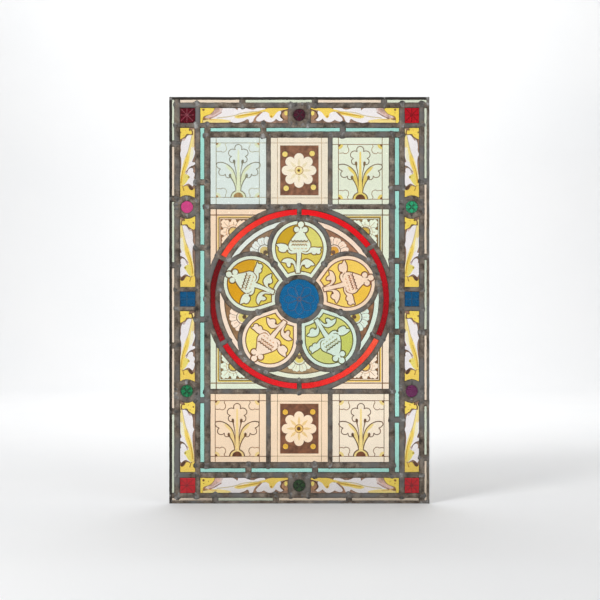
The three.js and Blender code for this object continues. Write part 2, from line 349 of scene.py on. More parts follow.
edge_runs = [
    across(low_edge, left_edge - 0.75, right_edge + 0.75),
    down(right_edge, low_edge - 0.75, top_edge + 0.75),
    across(top_edge, right_edge + 0.75, left_edge - 0.75),
    down(left_edge, top_edge + 0.75, low_edge - 0.75),
]

# Dull lead: warm grey where it is handled, bluer where it was tinned, and darker where a leaf turns down to
#  the glass. That dark is painted shade, with old cement and dirt in it.
lead_metal, bench, output = shader("aged_lead")
place = bench.node("ShaderNodeTexCoord", out="Object")
depth = bench.node("ShaderNodeSeparateXYZ", None, {"Vector": place}, "Y")
height = depth.sum_node("ABSOLUTE", depth)
cloud = bench.node(
    "ShaderNodeTexNoise",
    None,
    {"Vector": place, "Scale": 90.0, "Detail": 4.0, "Roughness": 0.6},
    "Fac",
)
streak = bench.node("ShaderNodeTexNoise", None, {"Vector": place, "Scale": 420.0, "Detail": 3.0}, "Fac")
blotch = bench.node("ShaderNodeTexNoise", None, {"Vector": place, "Scale": 28.0, "Detail": 2.0}, "Fac")
warm = bench.node(
    "ShaderNodeValToRGB",
    {"stops": [(0.34, linear(50, 42, 34)), (0.50, linear(112, 99, 86)), (0.66, linear(156, 144, 130))]},
    {"Fac": cloud * 0.75 + streak * 0.25},
    "Color",
)
tinned = bench.node(
    "ShaderNodeMix",
    {"data_type": "RGBA"},
    {"Factor_Float": bench.node("ShaderNodeMapRange", None, {"Value": blotch, "From Min": 0.45, "From Max": 0.65}),
     "A_Color": warm, "B_Color": linear(112, 111, 109)},
    "Result_Color",
)
# Painted shade with cement and dirt: the lead darkens from its crown down to where the leaf meets the glass.
edge_shade_and_dirt = bench.node(
    "ShaderNodeMapRange",
    None,
    {
        "Value": height + (streak - 0.5) * 0.0005,
        "From Min": 0.0017,
        "From Max": 0.00245,
        "To Min": 0.95,
        "To Max": 0.0,
    },
)
shaded_lead_colour = bench.node(
    "ShaderNodeMix",
    {"data_type": "RGBA"},
    {"Factor_Float": edge_shade_and_dirt, "A_Color": tinned, "B_Color": linear(20, 16, 13)},
    "Result_Color",
)
# Painted shadow: the left and top edges, and the short leads beside them, darken to near black.
place_x = bench.node("ShaderNodeSeparateXYZ", None, {"Vector": place}, "X")
place_z = bench.node("ShaderNodeSeparateXYZ", None, {"Vector": place}, "Z")
rim = place_x.sum_node("MAXIMUM", place_x * -1.0 - 0.2034, place_z - 0.6456)
painted_edge_shadow = bench.node(
    "ShaderNodeMapRange",
    None,
    {
        "Value": rim + (streak - 0.5) * 0.001,
        "From Min": -0.0006,
        "From Max": 0.0008,
        "To Min": 0.0,
        "To Max": 0.9,
    },
)
shaded_lead_colour = bench.node(
    "ShaderNodeMix",
    {"data_type": "RGBA"},
    {"Factor_Float": painted_edge_shadow, "A_Color": shaded_lead_colour, "B_Color": linear(30, 25, 19)},
    "Result_Color",
)
dents = bench.node(
    "ShaderNodeBump",
    None,
    {"Height": cloud + streak * 0.4, "Strength": 0.7, "Distance": 0.0008},
    "Normal",
)
into(
    bench,
    output,
    bench.node(
        "ShaderNodeBsdfPrincipled",
        None,
        {"Base Color": shaded_lead_colour, "Metallic": 0.35, "Roughness": 0.45 + cloud * 0.35, "Normal": dents},
    ),
)


def tree_for(name, sockets):
    """A geometry tree with named inputs, its bench, its inputs as wires, and its output node."""
    tree = bpy.data.node_groups.new(name, "GeometryNodeTree")
    tree.interface.new_socket("Geometry", in_out="INPUT", socket_type="NodeSocketGeometry")
    for key, kind in sockets.items():
        tree.interface.new_socket(key, in_out="INPUT", socket_type="NodeSocket" + kind)
    tree.interface.new_socket("Geometry", in_out="OUTPUT", socket_type="NodeSocketGeometry")
    bench = Bench(tree)
    entry = tree.nodes.new("NodeGroupInput")
    wires = {s.name: Wire(s) for s in entry.outputs if s.name}
    return tree, bench, wires


def grow(base, tree, values):
    """Runs a tree on an object with these inputs, and keeps the result as a plain mesh at the origin."""
    modifier = base.modifiers.new(tree.name, "NODES")
    modifier.node_group = tree
    for item in tree.interface.items_tree:
        if item.in_out == "INPUT" and item.name in values:
            modifier[item.identifier] = values[item.name]
    bpy.context.view_layer.update()
    evaluated = base.evaluated_get(bpy.context.evaluated_depsgraph_get())
    mesh = bpy.data.meshes.new_from_object(evaluated)
    name = base.name
    base.modifiers.remove(modifier)
    bpy.data.objects.remove(base)
    made = bpy.data.objects.new(name, mesh)
    mesh.name = name
    bpy.context.scene.collection.objects.link(made)
    return made


came_tree, bench, at = tree_for(
    "came",
    {
        "Width": "Float",
        "Inward": "Float",
        "Leaf edge": "Float",
        "Leaf crown": "Float",
        "Heart": "Float",
        "Wander": "Float",
        "Lead": "Material",
    },
)
ring = bench.node(
    "GeometryNodeCurvePrimitiveCircle",
    {"mode": "RADIUS"},
    {"Resolution": 14, "Radius": 1.0},
    "Curve",
)
spot = bench.node("GeometryNodeInputPosition")
spot_x = bench.node("ShaderNodeSeparateXYZ", None, {"Vector": spot}, "X")
spot_y = bench.node("ShaderNodeSeparateXYZ", None, {"Vector": spot}, "Y")
dome = at["Leaf edge"] + at["Leaf crown"] * spot_y.sum_node("MAXIMUM", spot_y, 0.0)
dome = dome + spot_y.sum_node("MINIMUM", spot_y, 0.0) * 0.0002
flank = spot_x * at["Width"] * 0.5 + at["Inward"]
leaves = []
for way in (1.0, -1.0):
    section = bench.node("ShaderNodeCombineXYZ", None, {"X": flank, "Y": dome * way})
    leaves.append(bench.node("GeometryNodeSetPosition", None, {"Geometry": ring, "Position": section}))
web = bench.node(
    "GeometryNodeCurvePrimitiveQuadrilateral",
    None,
    {"Width": at["Heart"], "Height": at["Leaf edge"] * 2.0},
)
join = came_tree.nodes.new("GeometryNodeJoinGeometry")
for part in [web] + leaves:
    came_tree.links.new(part.socket, join.inputs[0])
path = bench.node("GeometryNodeResampleCurve", {"mode": "LENGTH"}, {"Curve": at["Geometry"], "Length": 0.004})
drift = bench.node("ShaderNodeTexNoise", None, {"Vector": spot, "Scale": 45.0, "Detail": 1.0}, "Color")
drift = bench.node("ShaderNodeVectorMath", {"operation": "SUBTRACT"}, {0: drift, 1: (0.5, 0.5, 0.5)})
drift = bench.node("ShaderNodeVectorMath", {"operation": "SCALE"}, {0: drift, "Scale": at["Wander"]})
drift = bench.node("ShaderNodeVectorMath", {"operation": "MULTIPLY"}, {0: drift, 1: (1, 1, 0)})
path = bench.node("GeometryNodeSetPosition", None, {"Geometry": path, "Offset": drift})
swept = bench.node(
    "GeometryNodeCurveToMesh",
    None,
    {"Curve": path, "Profile Curve": Wire(join.outputs[0]), "Fill Caps": True},
)
upright = bench.node("GeometryNodeTransform", None, {"Geometry": swept, "Rotation": (math.radians(90), 0, 0)})
dent = bench.node("ShaderNodeTexNoise", None, {"Vector": spot, "Scale": 260.0, "Detail": 1.0}, "Color")
dent = bench.node("ShaderNodeVectorMath", {"operation": "SUBTRACT"}, {0: dent, 1: (0.5, 0.5, 0.5)})
dent = bench.node("ShaderNodeVectorMath", {"operation": "MULTIPLY"}, {0: dent, 1: (0.0008, 0.0005, 0.0008)})
beaten = bench.node("GeometryNodeSetPosition", None, {"Geometry": upright, "Offset": dent})
smooth = bench.node("GeometryNodeSetShadeSmooth", None, {0: beaten, "Shade Smooth": True})
solid = bench.node("GeometryNodeRealizeInstances", None, {"Geometry": smooth})
clad = bench.node("GeometryNodeSetMaterial", None, {"Geometry": solid, "Material": at["Lead"]})
exit_node = came_tree.nodes.new("NodeGroupOutput")
came_tree.links.new(clad.socket, exit_node.inputs[0])


def came(name, width, runs, loops=(), inward=0.0):
    """The cames of one width: open runs and closed loops of lead line, in drawing millimetres."""
    data = bpy.data.curves.new(name, "CURVE")
    data.dimensions = "3D"
    for points, closed in [(r, False) for r in runs] + [(r, True) for r in loops]:
        spline = data.splines.new("POLY")
        spline.points.add(len(points) - 1)
        for corner, (x, z) in zip(spline.points, points):
            corner.co = (x * mm, z * mm, 0, 1)
        spline.use_cyclic_u = closed
    base = bpy.data.objects.new(name, data)
    bpy.context.scene.collection.objects.link(base)
    made = grow(
        base,
        came_tree,
        {
            "Width": width * mm,
            "Inward": inward * mm,
            "Leaf edge": 1.72 * mm,
            "Leaf crown": 0.88 * mm,
            "Heart": 1.5 * mm,
            "Wander": 0.5 * mm,
            "Lead": lead_metal,
        },
    )
    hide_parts("lead_lattice")
    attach(made, "root")
    return made


for line, (width, off, run) in long_cames.items():
    came("came_" + line, width, [run], inward=off if "left" in line or "right" in line else -off)
came("cames_cross", cross_lead, cross_runs)
came("cames_narrow", narrow_lead, narrow_runs, [arc(roundel_line, 0, 360)[:-1]])
came("cames_jewels", jewel_lead, [], jewel_rings)
came("cames_petals", petal_lead, petal_runs)
came("cames_inner_ring", inner_ring_lead, [], [arc(ring_inner, 0, 360)[:-1]])
came("cames_outer_ring", outer_ring_lead, [], [arc(ring_outer, 0, 360)[:-1]])
came("cames_joints", joint_lead, joint_runs)
came("cames_edge", edge_lead, edge_runs, inward=-1.45)

# ------------------------------------------------------------------------------------------------
# Solder. Every place where two cames meet is tinned and joined with a flat pool of solder, on the
# front and on the back; it fills the wedges beside round jewels and spreads a little over the leads.
# ------------------------------------------------------------------------------------------------
solder_metal, bench, output = shader("solder")
place = bench.node("ShaderNodeTexCoord", out="Object")
grain = bench.node(
    "ShaderNodeTexNoise",
    None,
    {"Vector": place, "Scale": 160.0, "Detail": 4.0, "Roughness": 0.65},
    "Fac",
)
cloud = bench.node("ShaderNodeTexNoise", None, {"Vector": place, "Scale": 45.0, "Detail": 2.0}, "Fac")
depth = bench.node("ShaderNodeSeparateXYZ", None, {"Vector": place}, "Y")
height = depth.sum_node("ABSOLUTE", depth)
pool = bench.node(
    "ShaderNodeValToRGB",
    {"stops": [(0.36, linear(46, 42, 38)), (0.50, linear(104, 101, 97)), (0.64, linear(166, 165, 163))]},
    {"Fac": grain * 0.5 + cloud * 0.5},
    "Color",
)
# Painted shade with dirt: the solder darkens towards its low edges, where it meets the lead.
edge_shade_and_dirt = bench.node(
    "ShaderNodeMapRange",
    None,
    {
        "Value": height + (grain - 0.5) * 0.0006,
        "From Min": 0.0016,
        "From Max": 0.0024,
        "To Min": 0.9,
        "To Max": 0.0,
    },
)
pool = bench.node(
    "ShaderNodeMix",
    {"data_type": "RGBA"},
    {"Factor_Float": edge_shade_and_dirt, "A_Color": pool, "B_Color": linear(42, 38, 34)},
    "Result_Color",
)
pits = bench.node("ShaderNodeBump", None, {"Height": grain, "Strength": 0.5, "Distance": 0.0008}, "Normal")
into(
    bench,
    output,
    bench.node(
        "ShaderNodeBsdfPrincipled",
        None,
        {"Base Color": pool, "Metallic": 0.45, "Roughness": 0.35 + grain * 0.35, "Normal": pits},
    ),
)

solder_tree, bench, at = tree_for(
    "solder",
    {
        "Pool": "Object",
        "Thickness": "Float",
        "Raggedness": "Float",
        "Highest": "Float",
        "Seed": "Int",
        "Solder": "Material",
    },
)
size = bench.node("GeometryNodeInputNamedAttribute", {"data_type": "FLOAT"}, {"Name": "size"}, "Attribute")
turned = bench.node(
    "FunctionNodeRandomValue", {"data_type": "FLOAT"}, {2: 0.0, 3: 6.283, "Seed": at["Seed"]}, 1
)
ball = bench.node("GeometryNodeMeshIcoSphere", None, {"Radius": 1.0, "Subdivisions": 4}, "Mesh")
spin = bench.node("ShaderNodeCombineXYZ", None, {"Z": turned})
swell = bench.node("ShaderNodeCombineXYZ", None, {"X": size, "Y": size * 0.9, "Z": at["Thickness"]})
sides_done = []
for way in (1.0, -1.0):
    lifted = bench.node(
        "GeometryNodeSetPosition",
        None,
        {"Geometry": at["Geometry"], "Offset": (0, 0, way * 0.0016)},
    )
    sides_done.append(
        bench.node(
            "GeometryNodeInstanceOnPoints",
            None,
            {"Points": lifted, "Instance": ball, "Rotation": spin, "Scale": swell},
        )
    )
join = solder_tree.nodes.new("GeometryNodeJoinGeometry")
for part in sides_done:
    solder_tree.links.new(part.socket, join.inputs[0])
loose = bench.node("GeometryNodeRealizeInstances", None, {"Geometry": Wire(join.outputs[0])})
spot = bench.node("GeometryNodeInputPosition")
ragged = bench.node("ShaderNodeTexNoise", None, {"Vector": spot, "Scale": 150.0, "Detail": 3.0}, "Color")
ragged = bench.node("ShaderNodeVectorMath", {"operation": "SUBTRACT"}, {0: ragged, 1: (0.5, 0.5, 0.5)})
ragged = bench.node("ShaderNodeVectorMath", {"operation": "SCALE"}, {0: ragged, "Scale": at["Raggedness"]})
ragged = bench.node("ShaderNodeVectorMath", {"operation": "MULTIPLY"}, {0: ragged, 1: (1, 1, 0.25)})
loose = bench.node("GeometryNodeSetPosition", None, {"Geometry": loose, "Offset": ragged})
spot_x = bench.node("ShaderNodeSeparateXYZ", None, {"Vector": spot}, "X")
spot_y = bench.node("ShaderNodeSeparateXYZ", None, {"Vector": spot}, "Y")
spot_z = bench.node("ShaderNodeSeparateXYZ", None, {"Vector": spot}, "Z")
held = spot_z.sum_node("MAXIMUM", spot_z.sum_node("MINIMUM", spot_z, at["Highest"]), at["Highest"] * -1.0)
flat = bench.node(
    "ShaderNodeCombineXYZ",
    None,
    {
        "X": spot_x.sum_node("MAXIMUM", spot_x.sum_node("MINIMUM", spot_x, 0.208), -0.208),
        "Y": spot_y.sum_node("MAXIMUM", spot_y.sum_node("MINIMUM", spot_y, 0.65), 0.0),
        "Z": held,
    },
)
loose = bench.node("GeometryNodeSetPosition", None, {"Geometry": loose, "Position": flat})
upright = bench.node("GeometryNodeTransform", None, {"Geometry": loose, "Rotation": (math.radians(90), 0, 0)})
smooth = bench.node("GeometryNodeSetShadeSmooth", None, {0: upright, "Shade Smooth": True})
solid = bench.node("GeometryNodeRealizeInstances", None, {"Geometry": smooth})
clad = bench.node("GeometryNodeSetMaterial", None, {"Geometry": solid, "Material": at["Solder"]})
exit_node = solder_tree.nodes.new("NodeGroupOutput")
solder_tree.links.new(clad.socket, exit_node.inputs[0])


def solder(name, joints, seed):
    """Pools of solder on both faces. A joint is a place across and up the drawing, and a radius."""
    mesh = bpy.data.meshes.new(name)
    mesh.from_pydata([(x * mm, z * mm, 0) for x, z, _ in joints], [], [])
    sizes = mesh.attributes.new("size", "FLOAT", "POINT")
    sizes.data.foreach_set("value", [r * mm for _, _, r in joints])
    base = bpy.data.objects.new(name, mesh)
    bpy.context.scene.collection.objects.link(base)
    made = grow(
        base,
        solder_tree,
        {
            "Thickness": 1.1 * mm,
            "Raggedness": 4.4 * mm,
            "Highest": 2.98 * mm,
            "Seed": seed,
            "Solder": solder_metal,
        },
    )
    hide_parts("lead_lattice")
    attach(made, "root")
    return made


frame_joints = [(x, z, 5.0) for x in (left_edge + 1, right_edge - 1) for z in (low_edge + 1, top_edge - 1)]
for x in (left_outer, right_outer):
    frame_joints += [(x, z, 7.0) for z in (low_outer, top_outer)]
    frame_joints += [(x, z, 6.2) for z in (low_inner, top_inner, square_low, square_top)]
for x in (left_inner, right_inner):
    frame_joints += [(x, z, 6.6) for z in (low_outer, low_inner, top_inner, top_outer)]
    frame_joints += [(x, z, 5.8) for z in (square_low, square_top)]
frame_joints += [
    (left_outer, top_edge, 5.0),
    (right_outer, low_edge, 5.0),
    (left_edge, low_outer, 5.0),
    (right_edge, top_outer, 5.0),
]
frame_joints += [(x, z, 6.8) for x in (left_strip, right_strip) for z in (low_strip, top_strip)]
frame_joints += [
    (left_strip, top_inner, 6.0),
    (right_strip, low_inner, 6.0),
    (left_inner, low_strip, 6.0),
    (right_inner, top_strip, 6.0),
]
frame_joints += [(x, z, r) for z in fillet_joints["left"] for x, r in ((left_edge, 5.0), (left_outer, 6.4))]
frame_joints += [
    (x, z, r) for z in fillet_joints["right"] for x, r in ((right_edge, 5.0), (right_outer, 6.4))
]
frame_joints += [(x, z, r) for x in fillet_joints["bottom"] for z, r in ((low_edge, 5.0), (low_outer, 6.4))]
frame_joints += [(x, z, r) for x in fillet_joints["top"] for z, r in ((top_edge, 5.0), (top_outer, 6.4))]
frame_joints += [(x, z, 6.4) for z in strip_joints["left"] for x in (left_inner, left_strip)]
frame_joints += [(x, z, 6.4) for z in strip_joints["right"] for x in (right_inner, right_strip)]
frame_joints += [(x, z, 6.4) for x in strip_joints["bottom"] for z in (low_inner, low_strip)]
frame_joints += [(x, z, 6.4) for x in strip_joints["top"] for z in (top_inner, top_strip)]
frame_joints += [(x, z, 6.6) for x in (left_strip, right_strip) for z in (field_low, field_top)]
frame_joints += [
    (x, z, 6.0)
    for x in (left_column, right_column)
    for z in (low_strip, field_low, field_top, top_strip)
]
solder("solder_frame", frame_joints, 3)

jewel_joints = []
for x, z in side_jewels:
    jewel_joints += [(x + way * 15.6, z + lift, 5.2) for way in (-1, 1) for lift in (-9.5, -3, 4, 10)]
    jewel_joints += [(x, z + way * jewel_line, 4.6) for way in (-1, 1)]
for x, z in end_jewels:
    jewel_joints += [(x + way * 13.6, z + lift, 4.8) for way in (-1, 1) for lift in (-12.2, 12.2)]
    jewel_joints += [(x + way * jewel_line, z + lift, 5.6) for way in (-1, 1) for lift in (-16, 16)]
    jewel_joints += [(x + lift, z + way * 15.6, 4.6) for way in (-1, 1) for lift in (-5, 5)]
solder("solder_jewels", jewel_joints, 5)

field_joints = [(*polar(r, b), 5.4) for b in ruby_breaks for r in (ring_inner, ring_outer)]
for i in range(5):
    field_joints += [(*polar(roundel_line, 54 + 72 * i), 5.8), (*polar(shoulder + 4, 54 + 72 * i), 6.0)]
    field_joints += [(*polar(ring_inner - 1.5, 90 + 72 * i + turn), 6.0) for turn in (-6, 0, 6)]
    field_joints += [(*polar(128.5, 126 + 72 * i + turn), 5.6) for turn in (-24.5, 24.5)]
for way in (0, 90, 180, 270):
    field_joints += [(*polar(ring_outer + 2, way + turn), 4.6) for turn in (-11, 0, 11)]
solder("solder_field", field_joints, 8)

# ------------------------------------------------------------------------------------------------
# Outer fillets: narrow lengths of pale glass, cream or faintly green, cut from odd pieces and set
# end to end between short leads. All the glass of the panel is drawn out the same way from here on.
# ------------------------------------------------------------------------------------------------
random.seed(11)


def shade(colour, by):
    """A colour made lighter or darker."""
    return tuple(min(255, c * by) for c in colour)


def circle(x, z, radius, count=28, start=0.0, turn=360.0):
    whole = abs(turn) >= 360
    steps = count if whole else count + 1
    return [
        (
            x + radius * math.cos(math.radians(start + turn * i / count)),
            z + radius * math.sin(math.radians(start + turn * i / count)),
        )
        for i in range(steps)
    ]


def box(x0, x1, z0, z1):
    return [(x0, z0), (x1, z0), (x1, z1), (x0, z1)]


def flow(*spans, steps=5):
    """One line through spans of points: smooth along each span, and sharp where two spans meet."""
    line = []
    for span in spans:
        ends = [span[0]] + list(span) + [span[-1]]
        for a, b, c, d in zip(ends, ends[1:], ends[2:], ends[3:]):
            for i in range(steps):
                t = i / steps
                line.append(
                    tuple(
                        0.5 * (
                            2 * q + (r - p) * t + (
                                2 * p - 5 * q + 4 * r - s
                            ) * t * t + (3 * q - p - 3 * r + s) * t ** 3
                        )
                        for p, q, r, s in zip(a, b, c, d)
                    )
                )
    return line + [spans[-1][-1]]


class Pane:
    """A pane on the bench. Each mark is laid over the ones before it, and the pane is then cut along
    the edges of them all: stain and coloured glass let light through, paint is fired on the front."""

    def __init__(self, outline, colour):
        self.move = lambda u, v: (u, v)
        self.marks = []
        self.glass(outline, colour)

    def at(self, x, z, turn=0.0, flip=1, scale=1.0):
        """Draw from here on about this place, turned and flipped."""
        c, s = math.cos(math.radians(turn)) * scale, math.sin(math.radians(turn)) * scale
        self.move = lambda u, v: (x + flip * u * c - v * s, z + flip * u * s + v * c)
        return self

    def lay(self, points, colour, paint):
        placed = [self.move(u, v) for u, v in points]
        area = sum(a[0] * b[1] - b[0] * a[1] for a, b in zip(placed, placed[1:] + placed[:1]))
        if abs(area) > 1e-6:
            self.marks.append((placed[::-1] if area < 0 else placed, colour, paint))

    def glass(self, points, colour):
        self.lay(points, colour, False)

    def paint(self, points, colour):
        self.lay(points, colour, True)

    def line(self, points, width, colour, closed=False, taper=(1.0, 1.0), paint=True):
        """A brush line, which may swell from one end to the other."""
        points = [p for i, p in enumerate(points) if i == 0 or math.dist(p, points[i - 1]) > 1e-3]
        if closed and math.dist(points[0], points[-1]) < 1e-3:
            points = points[:-1]
        pairs = list(zip(points, points[1:] + points[:1] if closed else points[1:]))
        for i, ((x0, z0), (x1, z1)) in enumerate(pairs):
            span = math.dist((x0, z0), (x1, z1))
            dx, dz = (x1 - x0) / span, (z1 - z0) / span
            a, b = (width / 2 * (taper[0] + (taper[1] - taper[0]) * j / len(pairs)) for j in (i, i + 1))
            x0, z0, x1, z1 = x0 - dx * a / 2, z0 - dz * a / 2, x1 + dx * b / 2, z1 + dz * b / 2
            self.lay(
                [
                    (x0 - dz * a, z0 + dx * a),
                    (x0 + dz * a, z0 - dx * a),
                    (x1 + dz * b, z1 - dx * b),
                    (x1 - dz * b, z1 + dx * b),
                ],
                colour,
                paint,
            )

    def cut(self):
        """Vertices, triangles, and for each triangle its glass colour and its paint, if any."""
        corners, outlines = [], []
        for points, _, _ in self.marks:
            outlines.append(list(range(len(corners), len(corners) + len(points))))
            corners += [(x, z) for x, z in points]
        points, _, triangles, _, _, owners = delaunay_2d_cdt(corners, [], outlines, 0, 1e-4, True)
        kept = []
        for triangle, own in zip(triangles, owners):
            if 0 in own:
                glass = max(i for i in own if not self.marks[i][2])
                over = max(own)
                kept.append(
                    (
                        triangle,
                        self.marks[glass][1],
                        self.marks[over][1] if self.marks[over][2] else None,
                    )
                )
        # Corners of marks that reach past the pane belong to no kept triangle.
        used = sorted({corner for triangle, _, _ in kept for corner in triangle})
        place_of = {corner: i for i, corner in enumerate(used)}
        kept = [([place_of[corner] for corner in triangle], glass, over) for triangle, glass, over in kept]
        return [points[corner] for corner in used], kept


def fire(name, node, panes, glass, slot):
    """Makes one object of these panes, 3 mm thick, coloured on both faces and painted on the front."""
    vertices, faces, tints, kinds = [], [], [], []
    for pane in panes:
        points, kept = pane.cut()
        base, count = len(vertices), len(points)
        vertices += [(p[0] * mm, -glass_half * mm, p[1] * mm) for p in points]
        vertices += [(p[0] * mm, glass_half * mm, p[1] * mm) for p in points]
        rim = {}
        for (a, b, c), colour, paint in kept:
            faces += [(base + a, base + b, base + c), (base + count + c, base + count + b, base + count + a)]
            tints += [linear(*(paint or colour)), linear(*colour)]
            kinds += [1 if paint else 0, 0]
            for edge in ((a, b), (b, c), (c, a)):
                if rim.pop(edge[::-1], None) is None:
                    rim[edge] = colour
        for (a, b), colour in rim.items():
            faces.append((base + b, base + a, base + count + a, base + count + b))
            tints.append(linear(*colour))
            kinds.append(0)
    mesh = bpy.data.meshes.new(name)
    mesh.from_pydata(vertices, [], faces)
    tint = mesh.attributes.new("tint", "FLOAT_COLOR", "FACE")
    tint.data.foreach_set("color", [c for colour in tints for c in colour])
    mesh.materials.append(glass)
    mesh.materials.append(trace_paint)
    mesh.polygons.foreach_set("material_index", kinds)
    mesh.update()
    made = bpy.data.objects.new(name, mesh)
    bpy.context.scene.collection.objects.link(made)
    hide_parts(node)
    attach(made, "root")
    return made


def glass_kind(name, cloud_scale, cloudiness, ripple, roughness, seeds=0.0):
    """Sheet glass: its colour clouds and streaks a little, its surface ripples, and it holds seeds."""
    material, bench, output = shader(name)
    place = bench.node("ShaderNodeTexCoord", out="Object")
    tint = bench.node("ShaderNodeAttribute", {"attribute_name": "tint"}, None, "Color")
    cloud = bench.node(
        "ShaderNodeTexNoise",
        None,
        {"Vector": place, "Scale": cloud_scale, "Detail": 3.0, "Distortion": 0.6},
        "Fac",
    )
    fine = bench.node(
        "ShaderNodeTexNoise",
        None,
        {"Vector": place, "Scale": cloud_scale * 7, "Detail": 2.0},
        "Fac",
    )
    level = 1.0 + (cloud - 0.5) * cloudiness + (fine - 0.5) * (cloudiness * 0.35)
    if seeds:
        cells = bench.node(
            "ShaderNodeTexVoronoi",
            None,
            {"Vector": place, "Scale": 190.0, "Randomness": 1.0},
            "Distance",
        )
        level = level - bench.node(
            "ShaderNodeMapRange",
            None,
            {"Value": cells, "From Min": 0.06, "From Max": 0.10, "To Min": seeds, "To Max": 0.0},
        )
    grey = bench.node("ShaderNodeCombineXYZ", None, {"X": level, "Y": level, "Z": level})
    colour = bench.node(
        "ShaderNodeMix",
        {"data_type": "RGBA", "blend_type": "MULTIPLY"},
        {"Factor_Float": 1.0, "A_Color": tint, "B_Color": grey},
        "Result_Color",
    )
    wave = bench.node("ShaderNodeTexNoise", None, {"Vector": place, "Scale": 38.0, "Detail": 2.0}, "Fac")
    rippled = bench.node(
        "ShaderNodeBump",
        None,
        {"Height": wave + fine * 0.2, "Strength": ripple, "Distance": 0.002},
        "Normal",
    )
    into(
        bench,
        output,
        bench.node(
            "ShaderNodeBsdfPrincipled",
            None,
            {
                "Base Color": colour,
                "Roughness": roughness + (fine - 0.5) * 0.1,
                "Transmission Weight": 1.0,
                "IOR": 1.52,
                "Normal": rippled,
            },
        ),
    )
    return material


# Iron brown glass paint, fired on: matt, thin in places, a little warmer where it is worn.
trace_paint, bench, output = shader("trace_paint")
place = bench.node("ShaderNodeTexCoord", out="Object")
tint = bench.node("ShaderNodeAttribute", {"attribute_name": "tint"}, None, "Color")
wash = bench.node(
    "ShaderNodeTexNoise",
    None,
    {"Vector": place, "Scale": 150.0, "Detail": 4.0, "Roughness": 0.7},
    "Fac",
)
brush = bench.node(
    "ShaderNodeTexNoise",
    None,
    {"Vector": place, "Scale": 46.0, "Detail": 2.0, "Distortion": 1.2},
    "Fac",
)
thin = bench.node(
    "ShaderNodeMapRange",
    None,
    {
        "Value": wash * 0.6 + brush * 0.4,
        "From Min": 0.38,
        "From Max": 0.66,
        "To Min": 0.62,
        "To Max": 1.65,
    },
)
worn = bench.node("ShaderNodeCombineXYZ", None, {"X": thin, "Y": thin * 0.97, "Z": thin * 0.93})
fired = bench.node(
    "ShaderNodeMix",
    {"data_type": "RGBA", "blend_type": "MULTIPLY"},
    {"Factor_Float": 1.0, "A_Color": tint, "B_Color": worn},
    "Result_Color",
)
grainy = bench.node("ShaderNodeBump", None, {"Height": wash, "Strength": 0.35, "Distance": 0.0003}, "Normal")
into(
    bench,
    output,
    bench.node(
        "ShaderNodeBsdfPrincipled",
        None,
        {"Base Color": fired, "Roughness": 0.55 + wash * 0.2, "Normal": grainy},
    ),
)

pale_glass = glass_kind("pale_cathedral_glass", 40.0, 0.10, 0.25, 0.22)
cream, reed = (235, 216, 193), (216, 222, 200)
fillet_tints = {
    "left": [reed, cream, shade(cream, 1.02), reed, cream, reed],
    "right": [cream, reed, cream, shade(reed, 0.97), cream, reed],
    "bottom": [shade(cream, 0.9), reed, cream, shade(cream, 0.92)],
    "top": [cream, reed, cream, reed],
}


def strip_panes(node, joints, tints, level):
    """The lengths of glass along one side, from one joint to the next, with their ends in the leads."""
    x0, x1, z0, z1 = sides(node)
    cuts = [x0 if level else z0] + list(joints) + [x1 if level else z1]
    lengths = zip(cuts, cuts[1:])
    gap = [0.0] + [0.75] * len(joints) + [0.0]
    return [
        Pane(
            box(
                a + gap[i], b - gap[i + 1], z0, z1
            ) if level else box(x0, x1, a + gap[i], b - gap[i + 1]),
            tints[i],
        )
        for i, (a, b) in enumerate(lengths)
    ]


for side in ("left", "right", "bottom", "top"):
    panes = strip_panes("fillet_" + side, fillet_joints[side], fillet_tints[side], side in ("bottom", "top"))
    fire("fillet_glass_" + side, "fillet_" + side, panes, pale_glass, "pale_glass")

# ------------------------------------------------------------------------------------------------
# Turquoise strips: one narrow band of pot-metal glass all round the quarries, each side cut in
# three to five lengths that differ a little in tone.
# ------------------------------------------------------------------------------------------------
turquoise_glass = glass_kind("turquoise_pot_metal", 30.0, 0.12, 0.2, 0.15, 0.05)
turquoise = (165, 223, 209)
for side in ("left", "right", "bottom", "top"):
    tones = [shade(turquoise, random.uniform(0.97, 1.02)) for _ in range(6)]
    panes = strip_panes("turquoise_strip_" + side, strip_joints[side], tones, side in ("bottom", "top"))
    fire("turquoise_glass_" + side, "turquoise_strip_" + side, panes, turquoise_glass, "turquoise_glass")

# ------------------------------------------------------------------------------------------------
# Corner squares: deep ruby glass at three corners and a wine one at the top left. A plain upright
# cross and a diagonal one are scratched and painted across each, so that they read as a small star.
# ------------------------------------------------------------------------------------------------
ruby_glass = glass_kind("ruby_pot_metal", 60.0, 0.30, 0.25, 0.12, 0.1)
wine_glass = glass_kind("wine_pot_metal", 60.0, 0.35, 0.25, 0.12, 0.1)
for corner, colour, kind, slot in [
    ("top_left", (84, 0, 18), wine_glass, "wine_glass"),
    ("top_right", (180, 5, 25), ruby_glass, "ruby_glass"),
    ("bottom_left", (190, 0, 20), ruby_glass, "ruby_glass"),
    ("bottom_right", (196, 0, 20), ruby_glass, "ruby_glass"),
]:
    x0, x1, z0, z1 = sides("corner_" + corner)
    pane = Pane(box(x0, x1, z0, z1), colour).at((x0 + x1) / 2, (z0 + z1) / 2)
    scratch = (128, 64, 72) if corner == "top_left" else shade(colour, 0.72)
    for turn in (0, 45, 90, 135):
        reach = 13 if turn % 90 else 11
        pane.at((x0 + x1) / 2, (z0 + z1) / 2, turn).line([(-reach, 0), (reach, 0)], 1.3, scratch, paint=False)
    pane.at((x0 + x1) / 2, (z0 + z1) / 2).glass(circle(0, 0, 2.2, 14), scratch)
    fire("corner_glass_" + corner, "corner_" + corner, [pane], kind, slot)

